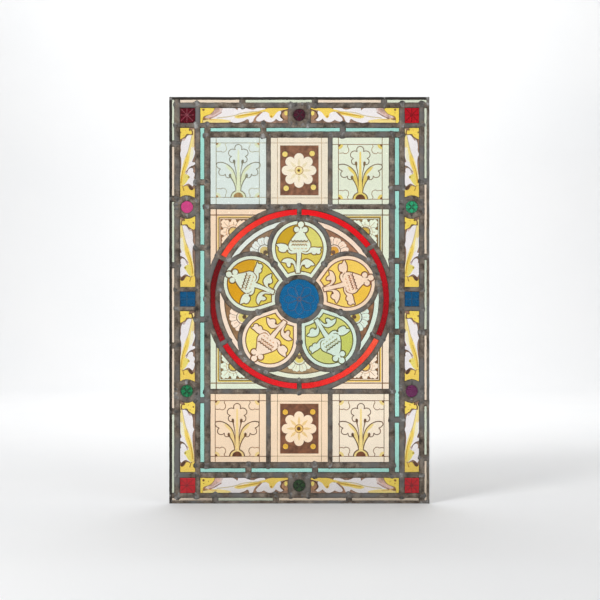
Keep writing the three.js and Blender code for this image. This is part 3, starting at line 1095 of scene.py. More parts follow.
# ------------------------------------------------------------------------------------------------
# Jewels: small rounds of pot-metal glass in the borders, and two blue squares at mid height. Some
# carry a plain four-petalled flower in brown paint.
# ------------------------------------------------------------------------------------------------
jewel_kinds = {
    "pink": ((205, 70, 130), "pink_glass"),
    "green": ((0, 115, 65), "green_glass"),
    "bright_green": ((45, 160, 110), "green_glass"),
    "purple": ((95, 25, 75), "purple_glass"),
    "wine": ((70, 15, 35), "wine_glass"),
    "dark_green": ((20, 60, 10), "dark_green_glass"),
    "blue": ((0, 80, 124), "blue_glass"),
}
jewel_glass = {key: glass_kind(key + "_jewel", 70.0, 0.3, 0.3, 0.1, 0.08) for key in jewel_kinds}
jewels = {
    "left_upper": "pink",
    "left_lower": "green",
    "right_upper": "bright_green",
    "right_lower": "purple",
    "top": "wine",
    "bottom": "dark_green",
}
for place_name, key in jewels.items():
    colour, slot = jewel_kinds[key]
    x0, x1, z0, z1 = sides("jewel_" + place_name)
    x, z = (x0 + x1) / 2, (z0 + z1) / 2
    pane = Pane(circle(x, z, (x1 - x0) / 2, 40), colour)
    if key in ("bright_green", "wine", "dark_green", "green"):
        ink = shade(colour, 0.45)
        for turn in (0, 90, 180, 270):
            pane.at(x, z, turn)
            pane.line(
                flow(
                    [
                        (0, 1),
                        (2.6, 3.5),
                        (3.4, 6.6),
                        (1.5, 9.2),
                        (0, 9.8),
                        (-1.5, 9.2),
                        (-3.4, 6.6),
                        (-2.6, 3.5),
                        (0, 1),
                    ]
                ),
                0.8,
                ink,
            )
            pane.at(x, z, turn + 45).line([(0, 2), (0, 12)], 0.8, ink)
    fire("jewel_glass_" + place_name, "jewel_" + place_name, [pane], jewel_glass[key], slot)
for side in ("left", "right"):
    x0, x1, z0, z1 = sides("jewel_" + side + "_middle")
    x, z = (x0 + x1) / 2, (z0 + z1) / 2
    pane = Pane(box(x0, x1, z0, z1), jewel_kinds["blue"][0])
    for turn in (0, 90):
        pane.at(x, z, turn).line([(-12, 0), (12, 0)], 0.8, (45, 75, 95))
    fire(
        "jewel_glass_" + side + "_middle",
        "jewel_" + side + "_middle",
        [pane],
        jewel_glass["blue"],
        "blue_glass",
    )

# ------------------------------------------------------------------------------------------------
# Ruby ring: six lengths of flashed ruby and scarlet glass, bent round the field and divided by
# short leads. The flash is uneven, so a length runs from deep red to orange along its sweep.
# ------------------------------------------------------------------------------------------------
ring_glass = {key: glass_kind(key + "_flashed", 34.0, 0.35, 0.2, 0.12, 0.06) for key in ("scarlet", "ruby")}
ring_runs = [
    (90, 152, (232, 25, 32), (255, 78, 52), "scarlet"),
    (152, 210, (98, 0, 6), (150, 0, 10), "ruby"),
    (210, 270, (205, 0, 18), (232, 8, 20), "ruby"),
    (270, 334, (232, 12, 14), (250, 88, 60), "scarlet"),
    (334, 396, (150, 0, 14), (196, 5, 22), "ruby"),
    (36, 90, (225, 8, 22), (240, 18, 26), "ruby"),
]
for i, (start, end, near, far, key) in enumerate(ring_runs):
    inner, outer = ring_inner + tuck, ring_outer - tuck
    off = math.degrees(tuck / 139)
    low_turn, high_turn = start + off, end - off
    outline = arc(outer, low_turn, high_turn, step=2.5) + arc(inner, high_turn, low_turn, step=2.5)
    pane = Pane(outline, near)
    bands = 14
    for j in range(1, bands):
        share = j / (bands - 1)
        tone = tuple(a + (b - a) * share for a, b in zip(near, far))
        a0 = low_turn + (high_turn - low_turn) * j / bands
        pane.glass(arc(outer, a0, high_turn, step=2.5) + arc(inner, high_turn, a0, step=2.5), tone)
    fire(f"ring_glass_{i + 1}", f"ruby_ring_{i + 1}", [pane], ring_glass[key], key + "_glass")

# ------------------------------------------------------------------------------------------------
# Roundel centre: a disc of streaky blue glass with a faint rosette in thin brown paint.
# ------------------------------------------------------------------------------------------------
blue_glass = glass_kind("blue_pot_metal", 45.0, 0.22, 0.3, 0.12, 0.08)
blue = (0, 98, 150)
pane = Pane(circle(0, middle, roundel_line - tuck, 72), (14, 104, 140)).at(0, middle)
pane.glass(circle(0, 0, 30.5, 60), (4, 98, 152))
pane.glass(circle(0, 0, 29, 60), blue)
faint = (74, 84, 104)
for turn in range(0, 360, 45):
    pane.at(0, middle, turn)
    pane.line(flow([(0, 3), (4.5, 9), (6.6, 16), (4.4, 22), (0, 24.5)]), 0.7, faint)
    pane.line(flow([(0, 3), (-4.5, 9), (-6.6, 16), (-4.4, 22), (0, 24.5)]), 0.7, faint)
pane.at(0, middle)
pane.line(circle(0, 0, 2.6, 20), 1.2, (96, 76, 76), closed=True)
fire("roundel_glass", "roundel_centre", [pane], blue_glass, "blue_glass")

# ------------------------------------------------------------------------------------------------
# Sprig quarries: four rectangles of pale glass, each with a flower of three scalloped leaves drawn
# in brown line inside a ruled border, silver stain on its stalks, and a quarter flower in each angle.
# ------------------------------------------------------------------------------------------------
quarry_glass = glass_kind("quarry_cathedral", 26.0, 0.10, 0.25, 0.25, 0.03)


def sprig(pane, x, z, rules, ink, stain, core, bold):
    """Draws one sprig about its stalk. rules are left, right and top as seen from its foot."""
    left, right, top = rules
    width = 0.95 * bold
    for a, b in (
        ((left, -30), (left, 120)),
        ((right, -30), (right, 120)),
        ((-60, 0), (60, 0)),
        ((-60, top), (60, top)),
    ):
        pane.at(x, z).line([a, b], 1.15, shade(ink, 1.15))
    for way in (-1, 1):
        pane.at(x, z, 0, way)
        stalk = flow(
            [(3.6, 11), (5.5, 19), (9, 27), (13, 33.5)],
            [(13, 33.5), (10, 38), (6, 40)],
            [(6, 40), (4, 30), (2.5, 11)],
        )
        pane.glass(stalk, stain)
        pane.glass(
            flow(
                [(5, 38), (9, 45), (15, 50.5), (21, 52)],
                [(21, 52), (17, 46), (11, 40), (8, 34)],
                [(8, 34), (5, 38)],
            ),
            shade(stain, 1.0),
        )
        pane.line(flow([(3.5, 10.5), (5.4, 19), (9, 27), (12.5, 32)]), width * 1.2, ink)
        pane.line(
            flow(
                [(2.6, 14), (3.2, 24), (4.6, 34), (8, 43), (14, 50), (21, 54.3), (28, 56), (34, 55)]
            ),
            width * 1.2,
            ink,
            taper=(0.8, 1.0),
        )
        pane.line(
            flow(
                [(34, 55), (35.3, 51), (32.5, 47.2), (28.6, 45.2)],
                [(28.6, 45.2), (30.8, 42.5), (31, 38), (28, 35.2), (23.6, 35), (20.6, 37)],
                [(20.6, 37), (19.8, 33.2), (16.6, 31.2), (13.2, 32)],
            ),
            width,
            ink,
        )
        pane.paint(
            flow([(13, 31.6), (15.4, 33.6), (14.6, 37.2), (12.2, 37.6), (11.2, 34), (10.6, 30.4)]),
            ink,
        )
        pane.line(flow([(2.6, 24), (3.4, 38), (5.6, 50), (7.2, 56)]), width * 0.9, ink, taper=(0.5, 1.6))
        pane.paint(flow([(5.4, 52), (4.6, 57), (6.0, 60.2), (8.4, 59.6), (8.6, 56.6), (6.8, 52)]), ink)
        pane.line(
            flow(
                [(0, 84.6), (3.4, 83.4), (5.6, 80), (5.0, 76.2)],
                [(5.0, 76.2), (9, 77.2), (13.4, 75.6), (15.6, 71.6), (14.6, 67.6), (11, 65.2)],
                [(11, 65.2), (13.8, 62.6), (13.6, 58.2), (10.6, 55.4), (7.8, 56.2)],
            ),
            width,
            ink,
        )
        edge = left if way < 0 else right
        for height, lift in ((0, 1), (top, -1)):
            corner = abs(edge)
            rose = [
                (corner - u, height + lift * v)
                for u, v in [
                    (15.5, 0),
                    (14.4, 3.4),
                    (16.6, 7.4),
                    (15.6, 12.4),
                    (11, 14.8),
                    (7.4, 13.2),
                    (4, 14),
                    (0, 13.4),
                ]
            ]
            pane.line(flow(rose[:2], rose[1:6], rose[5:]), width * 0.8, shade(ink, 1.25))
            disc = [(corner, height)] + [
                (corner - 7.6 * math.cos(t), height + lift * 7.6 * math.sin(t))
                for t in [math.pi / 2 * i / 7 for i in range(8)]
            ]
            pane.glass(disc, stain)
            spot = [(corner, height)] + [
                (corner - 3.6 * math.cos(t), height + lift * 3.6 * math.sin(t))
                for t in [math.pi / 2 * i / 5 for i in range(6)]
            ]
            pane.paint(spot, core)
    pane.at(x, z)
    pane.glass(
        flow(
            [(-3.4, 10), (-2.6, 26), (-1.8, 50), (-1.4, 74)],
            [(-1.4, 74), (0, 77), (1.4, 74)],
            [(1.4, 74), (1.8, 50), (2.6, 26), (3.4, 10)],
        ),
        shade(stain, 1.02),
    )
    pane.glass([(-12, 0)] + circle(0, 0, 12, 20, 180, -180) + [(12, 0)], shade(stain, 1.0))
    pane.line(flow([(-12, 0), (-10.6, 5), (-7.4, 8.6), (-3.6, 10.6)]), width * 1.3, ink)
    pane.line(flow([(12, 0), (10.6, 5), (7.4, 8.6), (3.6, 10.6)]), width * 1.3, ink)
    pane.paint(circle(0, 0, 7.8, 16, 180, -180), core)


sprigs = {
    "quarry_top_left": (
        (222, 232, 225),
        (-97.5, 489.5),
        (-35.5, 33.5, 87),
        (128, 128, 106),
        (222, 229, 190),
        (168, 134, 84),
        1.35,
    ),
    "quarry_top_right": (
        (230, 235, 212),
        (97.5, 486.5),
        (-35, 35, 87.5),
        (108, 86, 50),
        (232, 208, 110),
        (116, 70, 36),
        1.35,
    ),
    "quarry_bottom_left": (
        (248, 220, 188),
        (-99.5, 75.3),
        (-35, 35.5, 89),
        (104, 70, 38),
        (240, 208, 138),
        (108, 62, 34),
        1.5,
    ),
    "quarry_bottom_right": (
        (248, 232, 208),
        (98.5, 75.3),
        (-34.5, 37, 89),
        (102, 72, 42),
        (240, 214, 136),
        (110, 64, 36),
        1.5,
    ),
}
for node, (colour, (x, z), rules, ink, stain, core, bold) in sprigs.items():
    pane = Pane(box(*sides(node)), colour)
    sprig(pane, x, z, rules, ink, stain, core, bold)
    fire(
        node.replace("quarry", "sprig_quarry"),
        node,
        [pane],
        quarry_glass,
        "sprig_glass" if "top" in node else "quarry_glass",
    )

# ------------------------------------------------------------------------------------------------
# Daisy quarries: one above and one below the field. An eight-petalled daisy is left clear in a
# ground of brushed brown matt, with a yellow spot in each angle, inside a ruled border.
# ------------------------------------------------------------------------------------------------
daisies = {
    "quarry_top_centre": (
        (240, 228, 205),
        (-0.5, 532.5),
        (126, 84, 60),
        (238, 212, 118),
        [(-22.5, 26), (21, 27), (-20.5, -28.5), (23, -27)],
        1.0,
    ),
    "quarry_bottom_centre": (
        (250, 222, 190),
        (-0.5, 119.5),
        (122, 78, 54),
        (232, 180, 62),
        [(-22, 26.5), (22, 26.8), (-21.5, -28.5), (22.5, -28.5)],
        1.6,
    ),
}
for node, (colour, (x, z), ground, stain, spots, rays) in daisies.items():
    x0, x1, z0, z1 = sides(node)
    pane = Pane(box(x0, x1, z0, z1), colour).at(x, z)
    rule = (170, 145, 112)
    for a, b in (
        ((-34.5, -70), (-34.5, 70)),
        ((36, -70), (36, 70)),
        ((-60, 44), (60, 44)),
        ((-60, -44), (60, -44)),
    ):
        pane.line([a, b], 0.9, rule)
    pane.paint(box(-30.2, 31.3, -39.8, 40), ground)
    for u, v in spots:
        pane.paint(circle(u, v, 5.4, 20), shade(ground, 0.78))
        pane.glass(circle(u, v, 4.4, 20), stain)
    flower = []
    for i in range(8):
        turn = 90 + 45 * i
        flower.append(circle(20 * math.cos(math.radians(turn)), 20 * math.sin(math.radians(turn)), 7.7, 26))
        notch = [
            (13 * math.cos(math.radians(turn + t)), 13 * math.sin(math.radians(turn + t)))
            for t in (-30, 30)
        ]
        tip = [
            (22 * math.cos(math.radians(turn + t)), 22 * math.sin(math.radians(turn + t)))
            for t in (18, -18)
        ]
        flower.append([(0, 0)] + notch[:1] + tip[::-1] + notch[1:])
    for lobe in flower:
        pane.glass(lobe, shade(colour, 1.03))
    for i in range(8):
        pane.at(x, z, 45 * i)
        pane.glass(
            flow(
                [(1.0, 7), (2.2, 12), (0.8, 18), (0, 20)],
                [(0, 20), (-0.8, 18), (-2.2, 12), (-1.0, 7)],
            ),
            tuple(c * (1 - 0.25 * rays) + s * 0.25 * rays for c, s in zip(colour, stain)),
        )
    pane.at(x, z)
    pane.glass(circle(0, 0, 7.4, 30), tuple((c + s) / 2 for c, s in zip(colour, stain)))
    pane.line(circle(0, 0, 6.4, 30), 0.9, shade(ground, 1.25), closed=True)
    pane.glass(circle(0, 0, 4.2, 24), stain)
    pane.paint(circle(-0.4, 0, 2.2 if rays == 1.0 else 3.0, 18), shade(ground, 0.75))
    fire(node.replace("quarry", "daisy_quarry"), node, [pane], quarry_glass, "daisy_glass")

# ------------------------------------------------------------------------------------------------
# Field corners: the four panes between the ruby ring and the square of the field. Each has a ruled
# border with a stained fillet inside it, and a quarter daisy left clear in brown matt.
# ------------------------------------------------------------------------------------------------
field_glass = glass_kind("field_cathedral", 26.0, 0.10, 0.25, 0.25, 0.03)
corners = {
    "top_left": (-1, 1, (250, 222, 192), (236, 200, 120), (128, 86, 50)),
    "top_right": (1, 1, (232, 238, 214), (206, 172, 76), (126, 100, 58)),
    "bottom_left": (-1, -1, (228, 236, 212), (218, 188, 84), (132, 104, 58)),
    "bottom_right": (1, -1, (250, 230, 206), (240, 198, 92), (128, 90, 52)),
}
for corner, (across_way, up_way, colour, stain, ground) in corners.items():
    reach, rise = right_strip - tuck, (field_top - middle) - tuck
    round_lead = ring_outer + tuck
    tip = 17
    bow = [
        (round_lead * math.cos(math.radians(a)), round_lead * math.sin(math.radians(a)))
        for a in [90 - tip - i * (90 - 2 * tip) / 24 for i in range(25)]
    ]
    outline = [(reach, bow[-1][1]), (reach, rise), (bow[0][0], rise)] + bow

    def place(points):
        return [(across_way * u, middle + up_way * v) for u, v in points]

    pane = Pane(place(outline), colour).at(0, middle, 0 if up_way > 0 else 180, across_way * up_way)
    if up_way < 0:
        pane.move = lambda u, v, a=across_way: (a * u, middle - v)
    ink = shade(ground, 0.95)
    pane.glass(box(20, 131.0, 20, 132.6), stain)
    pane.line([(132.8, 0), (132.8, 150)], 1.7, shade(ground, 0.8))
    pane.line([(0, 134.4), (150, 134.4)], 1.7, shade(ground, 0.95))
    pane.paint(box(20, 128.9, 20, 130.5), shade(ground, 0.62))
    pane.glass(box(20, 127.6, 20, 129.2), shade(colour, 0.98))
    pane.paint(box(20, 126.4, 20, 128.0), ground)
    heart_x, heart_z = 105.5, 107.5
    bright = shade(colour, 1.02)
    for turn in (45, 92, -2, 139, -49):
        c, s_ = math.cos(math.radians(turn)), math.sin(math.radians(turn))
        long = 25.0 if turn in (45, 139, -49) else 19.6
        lobe = flow(
            [(7, -4), (long - 10, -6.6), (long - 5, -7.2), (long - 3.4, -4.2)],
            [(long - 3.4, -4.2), (long, -3.4), (long + 0.6, 0)],
            [(long + 0.6, 0), (long, 3.4), (long - 3.4, 4.2)],
            [(long - 3.4, 4.2), (long - 5, 7.2), (long - 10, 6.6), (7, 4)],
        )
        lobe = [(heart_x + p * c - q * s_, heart_z + p * s_ + q * c) for p, q in lobe]
        pane.line(lobe, 1.0, shade(ground, 0.78), closed=True)
        pane.glass(lobe, bright)
        pane.line([(heart_x + p * c, heart_z + p * s_) for p in (12, long - 4)], 0.7, shade(ground, 1.25))
        pane.line(circle(heart_x, heart_z, 11.2, 30), 0.7, shade(ground, 1.5), closed=True)
    pane.line(circle(heart_x, heart_z, 8.0, 30), 1.2, shade(ground, 1.1), closed=True)
    pane.glass(circle(heart_x, heart_z, 6.4, 26), stain)
    pane.at(0, middle)
    fire("field_corner_glass_" + corner, "field_corner_" + corner, [pane], field_glass, "field_glass")

# ------------------------------------------------------------------------------------------------
# Petals: five panes round the roundel, pear shaped and hollowed at the foot. Each keeps a clear
# border, and has a bud on a stalk between curled leaves, left clear in a field of silver stain.
# ------------------------------------------------------------------------------------------------
petal_glass = glass_kind("petal_cathedral", 30.0, 0.16, 0.25, 0.22, 0.04)


def petal_outline(line_off, foot_off):
    """A petal about its circle's centre, axis up: its lead line drawn in or let out."""
    head = petal_line - line_off
    foot = roundel_line + foot_off
    half = 36 - math.degrees(math.asin(line_off / foot))
    round_head = [
        (head * math.cos(math.radians(a)), head * math.sin(math.radians(a)))
        for a in [-36 + i * 252 / 60 for i in range(61)]
    ]
    curve = [
        (foot * math.sin(math.radians(a)), foot * math.cos(math.radians(a)) - petal_centre)
        for a in [-half + i * 2 * half / 12 for i in range(13)]
    ]
    return round_head + curve


def bud(pane, clear, ink):
    """The bud, its stalk and its four leaves, in line and clear glass, about the petal's centre."""
    pale_ink = shade(ink, 1.35)
    stalk = [
        (-5.5, -39),
        (-5.3, -31),
        (-3.9, -22),
        (-3.8, -10),
        (-4.4, -6),
        (3.2, -6),
        (2.7, -13),
        (1.6, -20),
        (0.8, -29),
        (0.8, -39),
    ]
    low_left = flow(
        [
            (-5.3, -29),
            (-6.5, -22.8),
            (-9.6, -18.4),
            (-14, -16.4),
            (-19.5, -15.9),
            (-25, -17.4),
            (-28.6, -21.6),
        ],
        [(-28.6, -21.6), (-24, -22.2), (-20.8, -23.4), (-20, -26.8)],
        [(-20, -26.8), (-18, -29.4), (-15.4, -29.6), (-13.9, -26.6)],
        [(-13.9, -26.6), (-12.6, -24.2), (-9.8, -24.6), (-7.8, -28), (-6.6, -36)],
        [(-6.6, -36), (-5.3, -29)],
    )
    low_right = flow(
        [(1.2, -29), (3, -23.6), (6, -19.6), (10.4, -17.4), (15, -18.2), (20, -21.2), (24.4, -26.2)],
        [(24.4, -26.2), (21.4, -27.2), (18.6, -26.8)],
        [(18.6, -26.8), (16, -29.6), (12.6, -31.2), (9.8, -29.6), (8.8, -27.2)],
        [(8.8, -27.2), (6.6, -26.2), (4, -27), (2.4, -30), (1.4, -36)],
        [(1.4, -36), (1.2, -29)],
    )
    side_left = flow(
        [(-17, 1.4), (-20, 5.2), (-25, 7.3), (-31, 7.6), (-37, 6.6)],
        [(-37, 6.6), (-34.4, 3.4), (-32.4, 1.6)],
        [(-32.4, 1.6), (-33, -2), (-31, -4.6), (-27.6, -5.8)],
        [(-27.6, -5.8), (-23.4, -5.8), (-19.8, -3.2)],
        [(-19.8, -3.2), (-16.4, -6.4), (-12.4, -8.2), (-5, -7.4)],
        [(-5, -7.4), (-5, -4.6), (-10.6, -5.4), (-14.6, -3.2), (-17, 1.4)],
    )
    side_right = flow(
        [(18, 1.2), (24, 1.8), (29, 1.0), (35.6, 1.2)],
        [(35.6, 1.2), (33.6, -0.8), (33.2, -2.8)],
        [(33.2, -2.8), (34.2, -5.4), (32.2, -8.4), (29.2, -8.6), (27.4, -7.0)],
        [(27.4, -7.0), (25.0, -9.4), (21.4, -8.8), (19.4, -6.4)],
        [(19.4, -6.4), (14, -8), (9.6, -8.6), (4, -7)],
        [(4, -7), (4.6, -4.6), (9.6, -6.2), (14, -5.0), (18, 1.2)],
    )
    cup = flow(
        [(-4.4, -6.2), (-10, -5.8), (-14.4, -3.4), (-17, 1.2), (-16.6, 6.6), (-13.8, 12.4)],
        [(-13.8, 12.4), (-8.4, 19.8), (-3.4, 26), (-0.6, 32)],
        [(-0.6, 32), (6.2, 32)],
        [(6.2, 32), (9.4, 22), (14, 14), (17.4, 8.4), (17.8, 2.4)],
        [(17.8, 2.4), (14.4, -3.0), (9, -5.4), (3.4, -6.2)],
        [(3.4, -6.2), (-4.4, -6.2)],
    )
    balls = [(-4.3, 30.3, 4.7), (9.0, 30.0, 4.8), (2.7, 38.3, 5.2)]
    for points in (stalk, low_left, low_right, side_left, side_right, cup):
        pane.line(points, 3.3, ink, closed=True)
    for u, v, r in balls:
        pane.paint(circle(u, v, r + 1.5, 22), ink)
    for points in (low_left, low_right, stalk, side_left, side_right, cup):
        pane.glass(points, clear)
    for u, v, r in balls:
        pane.glass(circle(u, v, r, 22), clear)
    for u, v, r in balls:
        pane.line(circle(u, v, r, 22), 1.0, ink, closed=True)
    pane.glass([(-2.4, 24), (0.6, 31), (2.0, 35.4), (3.2, 35.4), (4.6, 31), (7.0, 24)], clear)
    for u, v in ((-12.4, -24.8), (7.4, -27.6), (-19.2, -3.8)):
        pane.paint(circle(u, v, 1.9, 14), ink)
    pane.line(flow([(-17.2, 1.0), (-15.2, -2.2), (-11.4, -4.2)]), 1.6, ink, taper=(1.0, 0.5))
    pane.line(flow([(17.4, 1.0), (14.4, -3.4), (9.6, -5.6), (5, -4.4)]), 1.3, pale_ink, taper=(1.0, 0.6))
    scallops = [(-12.6 + 26 * i / 30, 12.6 - 1.5 * abs(math.sin(math.pi * i / 6))) for i in range(31)]
    pane.line(scallops, 1.9, ink)
    zigzag = [(-12 + 2.0 * i, 7.4 if i % 2 else 4.6) for i in range(13)]
    pane.line(zigzag, 1.4, pale_ink)
    pane.line([(-14, 9.4), (15, 9.4)], 0.6, shade(ink, 1.7))
    for i in range(4):
        pane.line([(-9 + 6 * i, 0.6), (-7.4 + 6 * i, -1.2), (-5.8 + 6 * i, 0.6)], 0.7, shade(ink, 1.7))


petal_tones = [
    ((230, 238, 216), (205, 164, 34), (222, 214, 112), (222, 200, 86), (112, 86, 34)),
    ((226, 233, 211), (220, 160, 18), (214, 160, 28), (224, 204, 84), (108, 78, 30)),
    ((250, 226, 202), (244, 214, 96), (246, 224, 110), (245, 214, 96), (120, 78, 36)),
    ((216, 233, 216), (198, 204, 98), (204, 208, 118), (212, 210, 114), (92, 92, 44)),
    ((250, 221, 192), (246, 206, 92), (244, 196, 70), (248, 212, 104), (120, 70, 40)),
]
for i, (clear, upper, other, lower, ink) in enumerate(petal_tones):
    x, z = polar(petal_centre, 90 + 72 * i)
    blank = petal_outline(tuck, tuck)
    turn = 72 * i
    c, s = math.cos(math.radians(turn)), math.sin(math.radians(turn))
    pane = Pane([(x + u * c - v * s, z + u * s + v * c) for u, v in blank], clear).at(x, z, turn)
    pane.paint(petal_outline(8.7, 8.3), ink)
    field = petal_outline(10.4, 10.1)
    pane.glass(field, lower)
    upper_left = [p for p in field if p[0] < 0 and p[1] > 2] + [(0, 2)]
    crown = (0, petal_line - 10.8)
    upper_right = [(0, 2)] + [p for p in field if p[0] > 0 and p[1] > 2] + [crown]
    pane.glass([crown] + upper_left, upper)
    pane.glass(upper_right, other)
    bud(pane, clear, ink)
    fire(f"petal_glass_{i + 1}", f"petal_{i + 1}", [pane], petal_glass, "stained_glass")

# ------------------------------------------------------------------------------------------------
# Inner spandrels: the three-sided panes between two petals and the ring. A clear band follows the
# ring, and half a daisy with a stained heart stands in brown matt in the angle.
# ------------------------------------------------------------------------------------------------
spandrel_tones = [
    ((230, 235, 226), (214, 190, 120), (132, 108, 84)),
    ((252, 228, 205), (226, 208, 120), (140, 106, 70)),
    ((230, 233, 208), (224, 206, 110), (168, 142, 104)),
    ((222, 236, 220), (214, 190, 84), (136, 96, 66)),
    ((250, 224, 200), (226, 164, 60), (152, 108, 80)),
]
for i, (clear, stain, ground) in enumerate(spandrel_tones):
    axis = 126 + 72 * i
    out_r, side_r = ring_inner - tuck, petal_line + tuck
    half_tip = 24.2

    def beyond(turn):
        away = math.radians(turn)
        return petal_centre * math.cos(away) + math.sqrt(
            max(0, side_r ** 2 - (petal_centre * math.sin(away)) ** 2)
        )

    outside = [
        (out_r * math.sin(math.radians(a)), out_r * math.cos(math.radians(a)))
        for a in [-half_tip + j * 2 * half_tip / 18 for j in range(19)]
    ]
    right_side = [
        (beyond(36 - a) * math.sin(math.radians(a)), beyond(36 - a) * math.cos(math.radians(a)))
        for a in [half_tip - j * half_tip / 14 for j in range(15)]
    ]
    outline = outside + right_side + [(-u, v) for u, v in right_side[-2::-1]]
    turn = axis - 90
    c, s = math.cos(math.radians(turn)), math.sin(math.radians(turn))
    pane = Pane([(u * c - v * s, middle + u * s + v * c) for u, v in outline], clear).at(0, middle, turn)
    pane.paint(circle(0, 0, 120.4, 80), shade(ground, 0.66))
    pane.paint(circle(0, 0, 118.8, 80), ground)
    bright = shade(clear, 1.01)
    for turn in (-78, -47, -16, 16, 47, 78):
        u, v = 20.0 * math.sin(math.radians(turn)), 94.5 + 16.6 * math.cos(math.radians(turn))
        petal_shape = [
            (
                u + p * math.cos(math.radians(turn)) + q * math.sin(math.radians(turn)),
                v - p * math.sin(math.radians(turn)) + q * math.cos(math.radians(turn)),
            )
            for p, q in flow(
                [(-1.6, -12), (-5.4, -3), (-5.6, 2.6), (-2.8, 5.2), (0, 4.4)],
                [(0, 4.4), (2.8, 5.2), (5.6, 2.6), (5.4, -3), (1.6, -12)],
            )
        ]
        pane.line(petal_shape, 1.2, shade(ground, 0.72), closed=True)
        pane.glass(petal_shape, bright)
        pane.line(
            [(u * 0.72, 95 + (v - 95) * 0.72), (u * 1.06, 95 + (v - 95) * 1.06)],
            0.6,
            shade(ground, 1.3),
        )
    pane.paint(circle(0, 95, 10.6, 26), shade(ground, 0.72))
    pane.glass(circle(0, 95, 9.4, 24), shade(clear, 0.97))
    pane.glass(circle(0, 94.6, 7.6, 24), stain)
    pane.paint(circle(0, 92.4, 3.4, 16), shade(ground, 0.72))
    fire(f"petal_spandrel_glass_{i + 1}", f"petal_spandrel_{i + 1}", [pane], field_glass, "field_glass")

# ------------------------------------------------------------------------------------------------
# Leaf panes: twelve lengths of clear glass round the border, each painted with a long acanthus leaf
# that curls over at one end, its midrib, curl and foot in silver stain on a brown matt ground.
# ------------------------------------------------------------------------------------------------
leaf_glass = glass_kind("leaf_cathedral", 30.0, 0.12, 0.25, 0.22, 0.03)
leaf_white, leaf_brown = (240, 234, 230), (140, 110, 92)


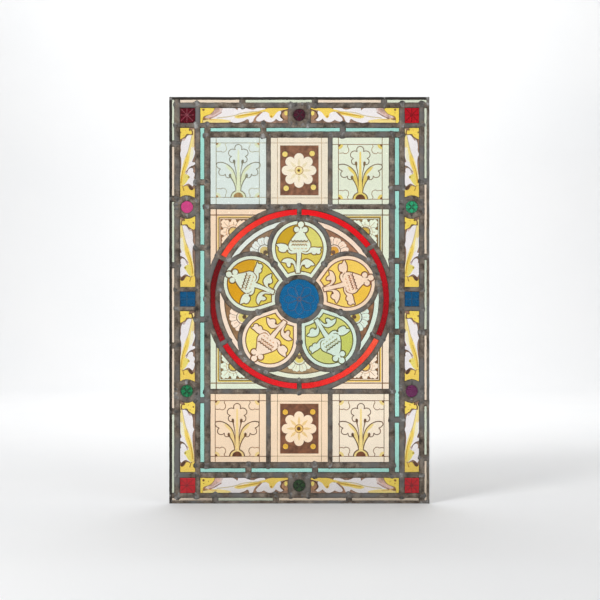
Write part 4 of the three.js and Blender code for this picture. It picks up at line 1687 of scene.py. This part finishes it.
def standing_leaf(pane, length):
    """The leaf of an upright pane, foot at 0: it leans to the left below and curls over at the top."""
    k = length / 111
    brown, soft, gold = (104, 76, 50), (196, 170, 160), (240, 206, 92)
    draw = lambda *spans: [
        (u + 179.8, (v - 489) * k)
        for u, v in flow(*[[(-p[0], p[1]) for p in span] for span in spans])
    ]
    body = draw(
        [(191.6, 503), (191, 520), (189.6, 530), (188.8, 540), (189, 550), (191.6, 557)],
        [(191.6, 557), (189.4, 563), (189.6, 570), (188.6, 577)],
        [(188.6, 577), (186.6, 580.6), (184.6, 578.6)],
        [(184.6, 578.6), (181.5, 584), (178, 588), (172, 589.5), (168.2, 592)],
        [(168.2, 592), (168.2, 565)],
        [(168.2, 565), (166.6, 561), (168, 554), (171, 546), (170.6, 543.8)],
        [
            (170.6, 543.8),
            (167.6, 543.8),
            (166.6, 541),
            (169.4, 538.8),
            (174, 536.6),
            (178, 532.6),
            (181, 527),
        ],
        [(181, 527), (184, 505)],
        [(184, 505), (191.6, 503)],
    )
    pane.line(body, 1.6, brown, closed=True)
    pane.glass(body, (239, 233, 233))
    pane.glass(
        draw(
            [(168.2, 598), (168.2, 570)],
            [(168.2, 570), (171.8, 568), (171.6, 584), (170.6, 598)],
            [(170.6, 598), (168.2, 598)],
        ),
        (238, 214, 150),
    )
    pane.glass(
        draw(
            [(171.4, 568), (175.6, 558), (176.6, 545), (172, 548), (169.6, 556), (170, 566)],
            [(170, 566), (171.4, 568)],
        ),
        (242, 236, 206),
    )
    lobes = draw(
        [(177, 532.5), (173.6, 534.6), (170.8, 534.0), (169.6, 531), (170.2, 527.4)],
        [(170.2, 527.4), (168.0, 526.2), (167.2, 522.6), (168.8, 518.2)],
        [(168.8, 518.2), (167.2, 514.6), (168.4, 508.6), (170.8, 504)],
        [(170.8, 504), (174.4, 507), (178, 508.6), (184, 505.6)],
        [(184, 505.6), (186, 512), (183.4, 520), (180, 526), (177, 532.5)],
    )
    pane.line(lobes, 1.6, brown, closed=True)
    pane.glass(lobes, (239, 233, 233))
    rib = draw(
        [
            (191.6, 502),
            (191, 516),
            (189.2, 529),
            (186.4, 540),
            (182.6, 552),
            (178.6, 562),
            (175.4, 574),
            (172.2, 588),
            (170.4, 597),
        ],
        [(170.4, 597), (168.8, 592), (171, 576), (174, 562), (175.6, 550), (177, 541)],
        [(177, 541), (179.8, 534), (182, 527), (183.6, 518), (184, 506)],
        [(184, 506), (191.6, 502)],
    )
    pane.glass(rib, (243, 222, 138))
    pane.glass(
        draw(
            [(190.6, 506), (188.6, 524), (184.8, 538), (181, 552), (178.4, 559)],
            [(178.4, 559), (176.8, 550), (179.4, 540), (182.6, 530), (184.6, 518), (185, 506)],
            [(185, 506), (190.6, 506)],
        ),
        gold,
    )
    pane.line(
        draw([(189.4, 510), (188, 522), (185.6, 533), (181.6, 545)]),
        1.9,
        (206, 164, 54),
        taper=(1.0, 0.5),
        paint=False,
    )
    pane.line(draw([(181.6, 552), (178, 562), (175, 574), (171.6, 590)]), 1.1, (206, 184, 138), paint=False)
    pane.glass(
        draw(
            [
                (185, 525),
                (180, 524),
                (176.2, 521.6),
                (175.4, 518.6),
                (178, 515.6),
                (180.6, 511),
                (184, 507),
                (187, 506),
            ],
            [(187, 506), (185, 525)],
        ),
        (234, 216, 112),
    )
    pane.glass(circle(2.7, (519.6 - 489) * k, 1.7, 14), (178, 160, 62))
    pane.glass(circle(-0.6, (528 - 489) * k, 2.1, 12), (206, 184, 178))
    pane.line(
        draw([(167.6, 537.6), (171.4, 537.2), (175, 535.2), (178.4, 531.6), (180.6, 528.4)]),
        2.0,
        (92, 70, 48),
        taper=(1.0, 0.4),
    )
    foot = draw(
        [(193, 484), (192.6, 504), (188, 504.6), (184.6, 503.4)],
        [(184.6, 503.4), (181.6, 505.0), (178.4, 504.4), (176.8, 501.6)],
        [(176.8, 501.6), (174.6, 498.6), (170.4, 499.4), (167.4, 500.8)],
        [(167.4, 500.8), (167.4, 484)],
        [(167.4, 484), (193, 484)],
    )
    pane.line(foot, 1.2, (150, 112, 52), closed=True)
    pane.glass(foot, gold)
    pane.paint(
        draw(
            [(178.2, 505), (175, 506.4), (171.4, 503.4), (169.2, 500)],
            [(169.2, 500), (171.6, 497.6), (174.4, 499.4), (176.4, 503)],
            [(176.4, 503), (178.2, 505)],
        ),
        (84, 54, 36),
    )
    pane.line(draw([(187, 505.6), (185.6, 501), (184.4, 497.4)]), 1.8, (160, 122, 44), taper=(0.6, 1.0))
    curl = draw(
        [(193, 606), (192.6, 583.6), (188.4, 582.6), (185.2, 584.6)],
        [(185.2, 584.6), (182.6, 586.4), (180.6, 590), (177, 590.4)],
        [(177, 590.4), (173, 589.8), (171.8, 593), (173.4, 596.6)],
        [(173.4, 596.6), (176, 598.6), (175.6, 606)],
        [(175.6, 606), (193, 606)],
    )
    pane.line(curl, 2.6, brown, closed=True)
    pane.glass(curl, (244, 214, 92))
    pane.line([(7.4, (597 - 489) * k), (9.0, (594 - 489) * k), (9.2, (589 - 489) * k)], 1.8, (112, 78, 40))
    for u, v, r, colour in (
        (-10.4, 593, 1.5, (132, 96, 44)),
        (4.6, 597.2, 1.7, (120, 84, 40)),
        (-2.6, 596, 1.0, (206, 168, 62)),
        (-5.0, 588.6, 0.9, (206, 168, 62)),
    ):
        pane.paint(circle(u, (v - 489) * k, r, 12), colour)
    pane.paint(
        draw(
            [(187.6, 581.6), (184.4, 583), (181.4, 583.2), (184.4, 579.2)],
            [(184.4, 579.2), (187.6, 581.6)],
        ),
        soft,
    )


def lying_leaf(pane, length):
    """The leaf of a level pane, drawn from its curl at 0 to the hook at its far end."""
    k = length / 141
    brown, soft, gold = (110, 80, 54), (196, 164, 154), (240, 206, 92)
    white = (240, 234, 233)
    draw = lambda *spans: [((157.5 - u) * k, v - 621.2) for u, v in flow(*spans)]
    upper = draw(
        [(122.6, 634), (121.4, 630), (122.8, 627.4), (121.4, 625.2)],
        [(121.4, 625.2), (126, 622.6), (132, 618.6), (140, 614.6), (140, 610)],
        [(140, 610), (108.5, 610)],
        [(108.5, 610), (100, 608.4), (92, 609.8), (86, 612), (82, 614.6)],
        [
            (82, 614.6),
            (79.4, 613.4),
            (78.4, 609.4),
            (75.4, 609),
            (71.4, 611.6),
            (68.4, 616),
            (64, 621),
            (58, 625),
        ],
        [(58, 625), (52, 629), (56, 634), (66, 632), (72, 629.8), (80, 631), (86, 634)],
        [(86, 634), (95, 634), (97.4, 629), (100, 631), (106, 634)],
        [(106, 634), (122.6, 634)],
    )
    pane.line(upper, 1.6, brown, closed=True)
    pane.glass(upper, white)
    pane.glass(
        draw(
            [
                (158, 609),
                (158, 613.4),
                (150, 612.6),
                (142, 614.6),
                (132, 615.2),
                (120, 614.2),
                (108, 612),
                (112, 609),
            ],
            [(112, 609), (158, 609)],
        ),
        (244, 220, 138),
    )
    second = draw(
        [(60, 625.4), (52, 626.4), (40, 627), (28, 627.6)],
        [(28, 627.6), (27.6, 624), (29.2, 620.4), (28.4, 617), (24, 613.4)],
        [(24, 613.4), (27, 611.4), (31, 611.8), (35.8, 615)],
        [(35.8, 615), (38.6, 611.6), (44, 609.4), (50, 610.4), (55, 613.4)],
        [(55, 613.4), (59, 611.4), (64, 610.6), (67.4, 612.6), (66.4, 616.6), (60, 622.6), (60, 625.4)],
    )
    pane.line(second, 1.6, brown, closed=True)
    pane.glass(second, white)
    pane.glass(
        draw(
            [(64, 628), (54, 630), (46, 632.6), (38, 634)],
            [(38, 634), (14, 634)],
            [
                (14, 634),
                (14, 630.4),
                (22, 629.4),
                (30, 627.6),
                (35, 624.6),
                (39, 619),
                (42, 616.4),
                (45.6, 618.4),
                (46.6, 623.6),
            ],
            [(46.6, 623.6), (52, 626.4), (64, 628)],
        ),
        gold,
    )
    pane.glass(circle((157.5 - 43.2) * k, -2.4, 1.8, 14), (196, 152, 44))
    rib = draw(
        [(103, 618), (98, 620.6), (88, 622.6), (76, 625.2), (64, 627.4), (54, 627.6)],
        [(54, 627.6), (60, 623.6), (67, 620.8), (78, 619.2), (88, 616.6), (97, 615.8), (103, 618)],
    )
    pane.glass(rib, (238, 210, 110))
    pane.line(
        draw([(97, 619), (88, 620.8), (78, 622), (70, 623.6), (60, 625.6)]),
        2.4,
        (208, 164, 56),
        taper=(0.5, 1.0),
        paint=False,
    )
    pane.line(
        draw([(130, 616.4), (114, 618.2), (101, 620.6), (91, 624), (80, 625.8), (60, 627.2)]),
        1.3,
        (208, 190, 142),
        paint=False,
    )
    pane.line(
        draw([(58, 625.4), (63.4, 621.6), (68, 616.6), (70.4, 611)]),
        2.8,
        (150, 114, 86),
        taper=(0.6, 1.3),
    )
    wedge = draw(
        [(134, 634), (121.6, 634), (121, 630), (122.6, 627.4), (121.6, 625.4)],
        [(121.6, 625.4), (128, 622.6), (136, 617.4), (146, 614.8)],
        [(146, 614.8), (149, 616.6), (146, 619.6), (140, 622), (136.4, 626), (134, 634)],
    )
    pane.glass(wedge, (222, 200, 192))
    pane.paint(
        draw(
            [(133, 634), (126, 634), (124.6, 629), (128, 625.4), (134, 621.4), (140, 618)],
            [(140, 618), (145, 617.4), (140, 622), (136, 626), (133, 634)],
        ),
        soft,
    )
    pane.line(draw([(123.4, 624.6), (130, 621), (136, 617.6), (142, 616.4)]), 1.5, (158, 122, 112))
    pane.line(draw([(148, 616), (140, 614), (130, 613.6)]), 1.5, (196, 152, 84), taper=(1.0, 0.5))
    curl = draw(
        [(159, 606), (159, 634), (133.4, 634)],
        [(133.4, 634), (135.4, 628.4), (139.4, 623.8), (144, 621.4), (150, 619.6)],
        [(150, 619.6), (152.6, 616.4), (153.4, 606)],
        [(153.4, 606), (159, 606)],
    )
    pane.line(curl, 1.8, (150, 112, 56), closed=True)
    pane.glass(curl, (244, 214, 88))
    for u, v, r, colour in (
        (151.6, 629.4, 2.0, (120, 82, 40)),
        (151.2, 624.4, 1.1, (190, 158, 60)),
        (150.6, 615, 2.1, (146, 102, 50)),
        (143.6, 627.6, 0.9, (214, 178, 70)),
    ):
        pane.paint(circle((157.5 - u) * k, v - 621.2, r, 12), colour)
    hook = draw(
        [(14, 630.2), (20.6, 629.4), (25.4, 626.6), (28, 621.6), (27.2, 616.4), (22.8, 613.2)],
        [(22.8, 613.2), (18, 613.4), (15, 619), (14, 630.2)],
    )
    pane.paint(hook, (164, 124, 92))
    pane.line(
        draw([(15, 630), (20.6, 628.8), (25, 626), (27.4, 621.4), (26.6, 617), (23, 613.8)]),
        2.2,
        (88, 56, 34),
        taper=(0.8, 1.0),
    )
    pane.glass(
        draw(
            [(19.9, 628), (17.6, 626), (17.4, 622), (19.4, 620)],
            [(19.4, 620), (22, 622), (22, 626), (19.9, 628)],
        ),
        (238, 216, 112),
    )


def leaf_pane(name, outline, x, z, turn, flip, length, drawing):
    """Fires one leaf pane. The leaf's foot is at x, z, and it grows along its turn."""
    pane = Pane(outline, leaf_white)
    pane.at(x, z, turn, flip)
    pane.paint(box(-30, 160, -30, 160), leaf_brown)
    drawing(pane, length)
    fire(name.replace("leaf", "leaf_glass"), name, [pane], leaf_glass, "leaf_glass")


for side, flip in (("left", 1), ("right", -1)):
    x = (left_outer + left_inner) / 2 * flip
    jewels_at = (side_jewels[0][1], side_jewels[1][1])
    runs = [
        (1, top_inner - tuck, jewels_at[0], 1),
        (2, square_top + tuck, jewels_at[0], -1),
        (3, square_low - tuck, jewels_at[1], 1),
        (4, low_inner + tuck, jewels_at[1], -1),
    ]
    for number, straight, jewel, away in runs:
        half = (left_inner - left_outer) / 2 - tuck
        centre = jewel - away * (hollow_line - jewel_line)
        radius = hollow_line + tuck
        spread = math.degrees(math.asin(half / radius))
        end = [polar(radius, away * (90 + spread - 2 * spread * j / 10), x, centre) for j in range(11)]
        outline = end + ([(x + half, straight), (x - half, straight)])
        hollow = jewel + away * (jewel_line + narrow_lead / 2)
        low_end, high_end = sorted((hollow, straight - away * (wide_lead / 2 - tuck)))
        mirror = flip if number in (1, 3) else -flip
        leaf_pane(f"leaf_{side}_{number}", outline, x, low_end, 0, mirror, high_end - low_end, standing_leaf)
for side, z in (("top", (top_inner + top_outer) / 2), ("bottom", (low_inner + low_outer) / 2)):
    for end, flip in (("left", 1), ("right", -1)):
        x0, x1, z0, z1 = sides(f"leaf_{side}_{end}")
        curl_end = x0 + 3.75 if end == "left" else x1 - 3.75
        leaf_pane(
            f"leaf_{side}_{end}",
            box(x0, x1, z0, z1),
            curl_end,
            z,
            0,
            flip,
            (x1 - x0) - 6.5,
            lying_leaf,
        )
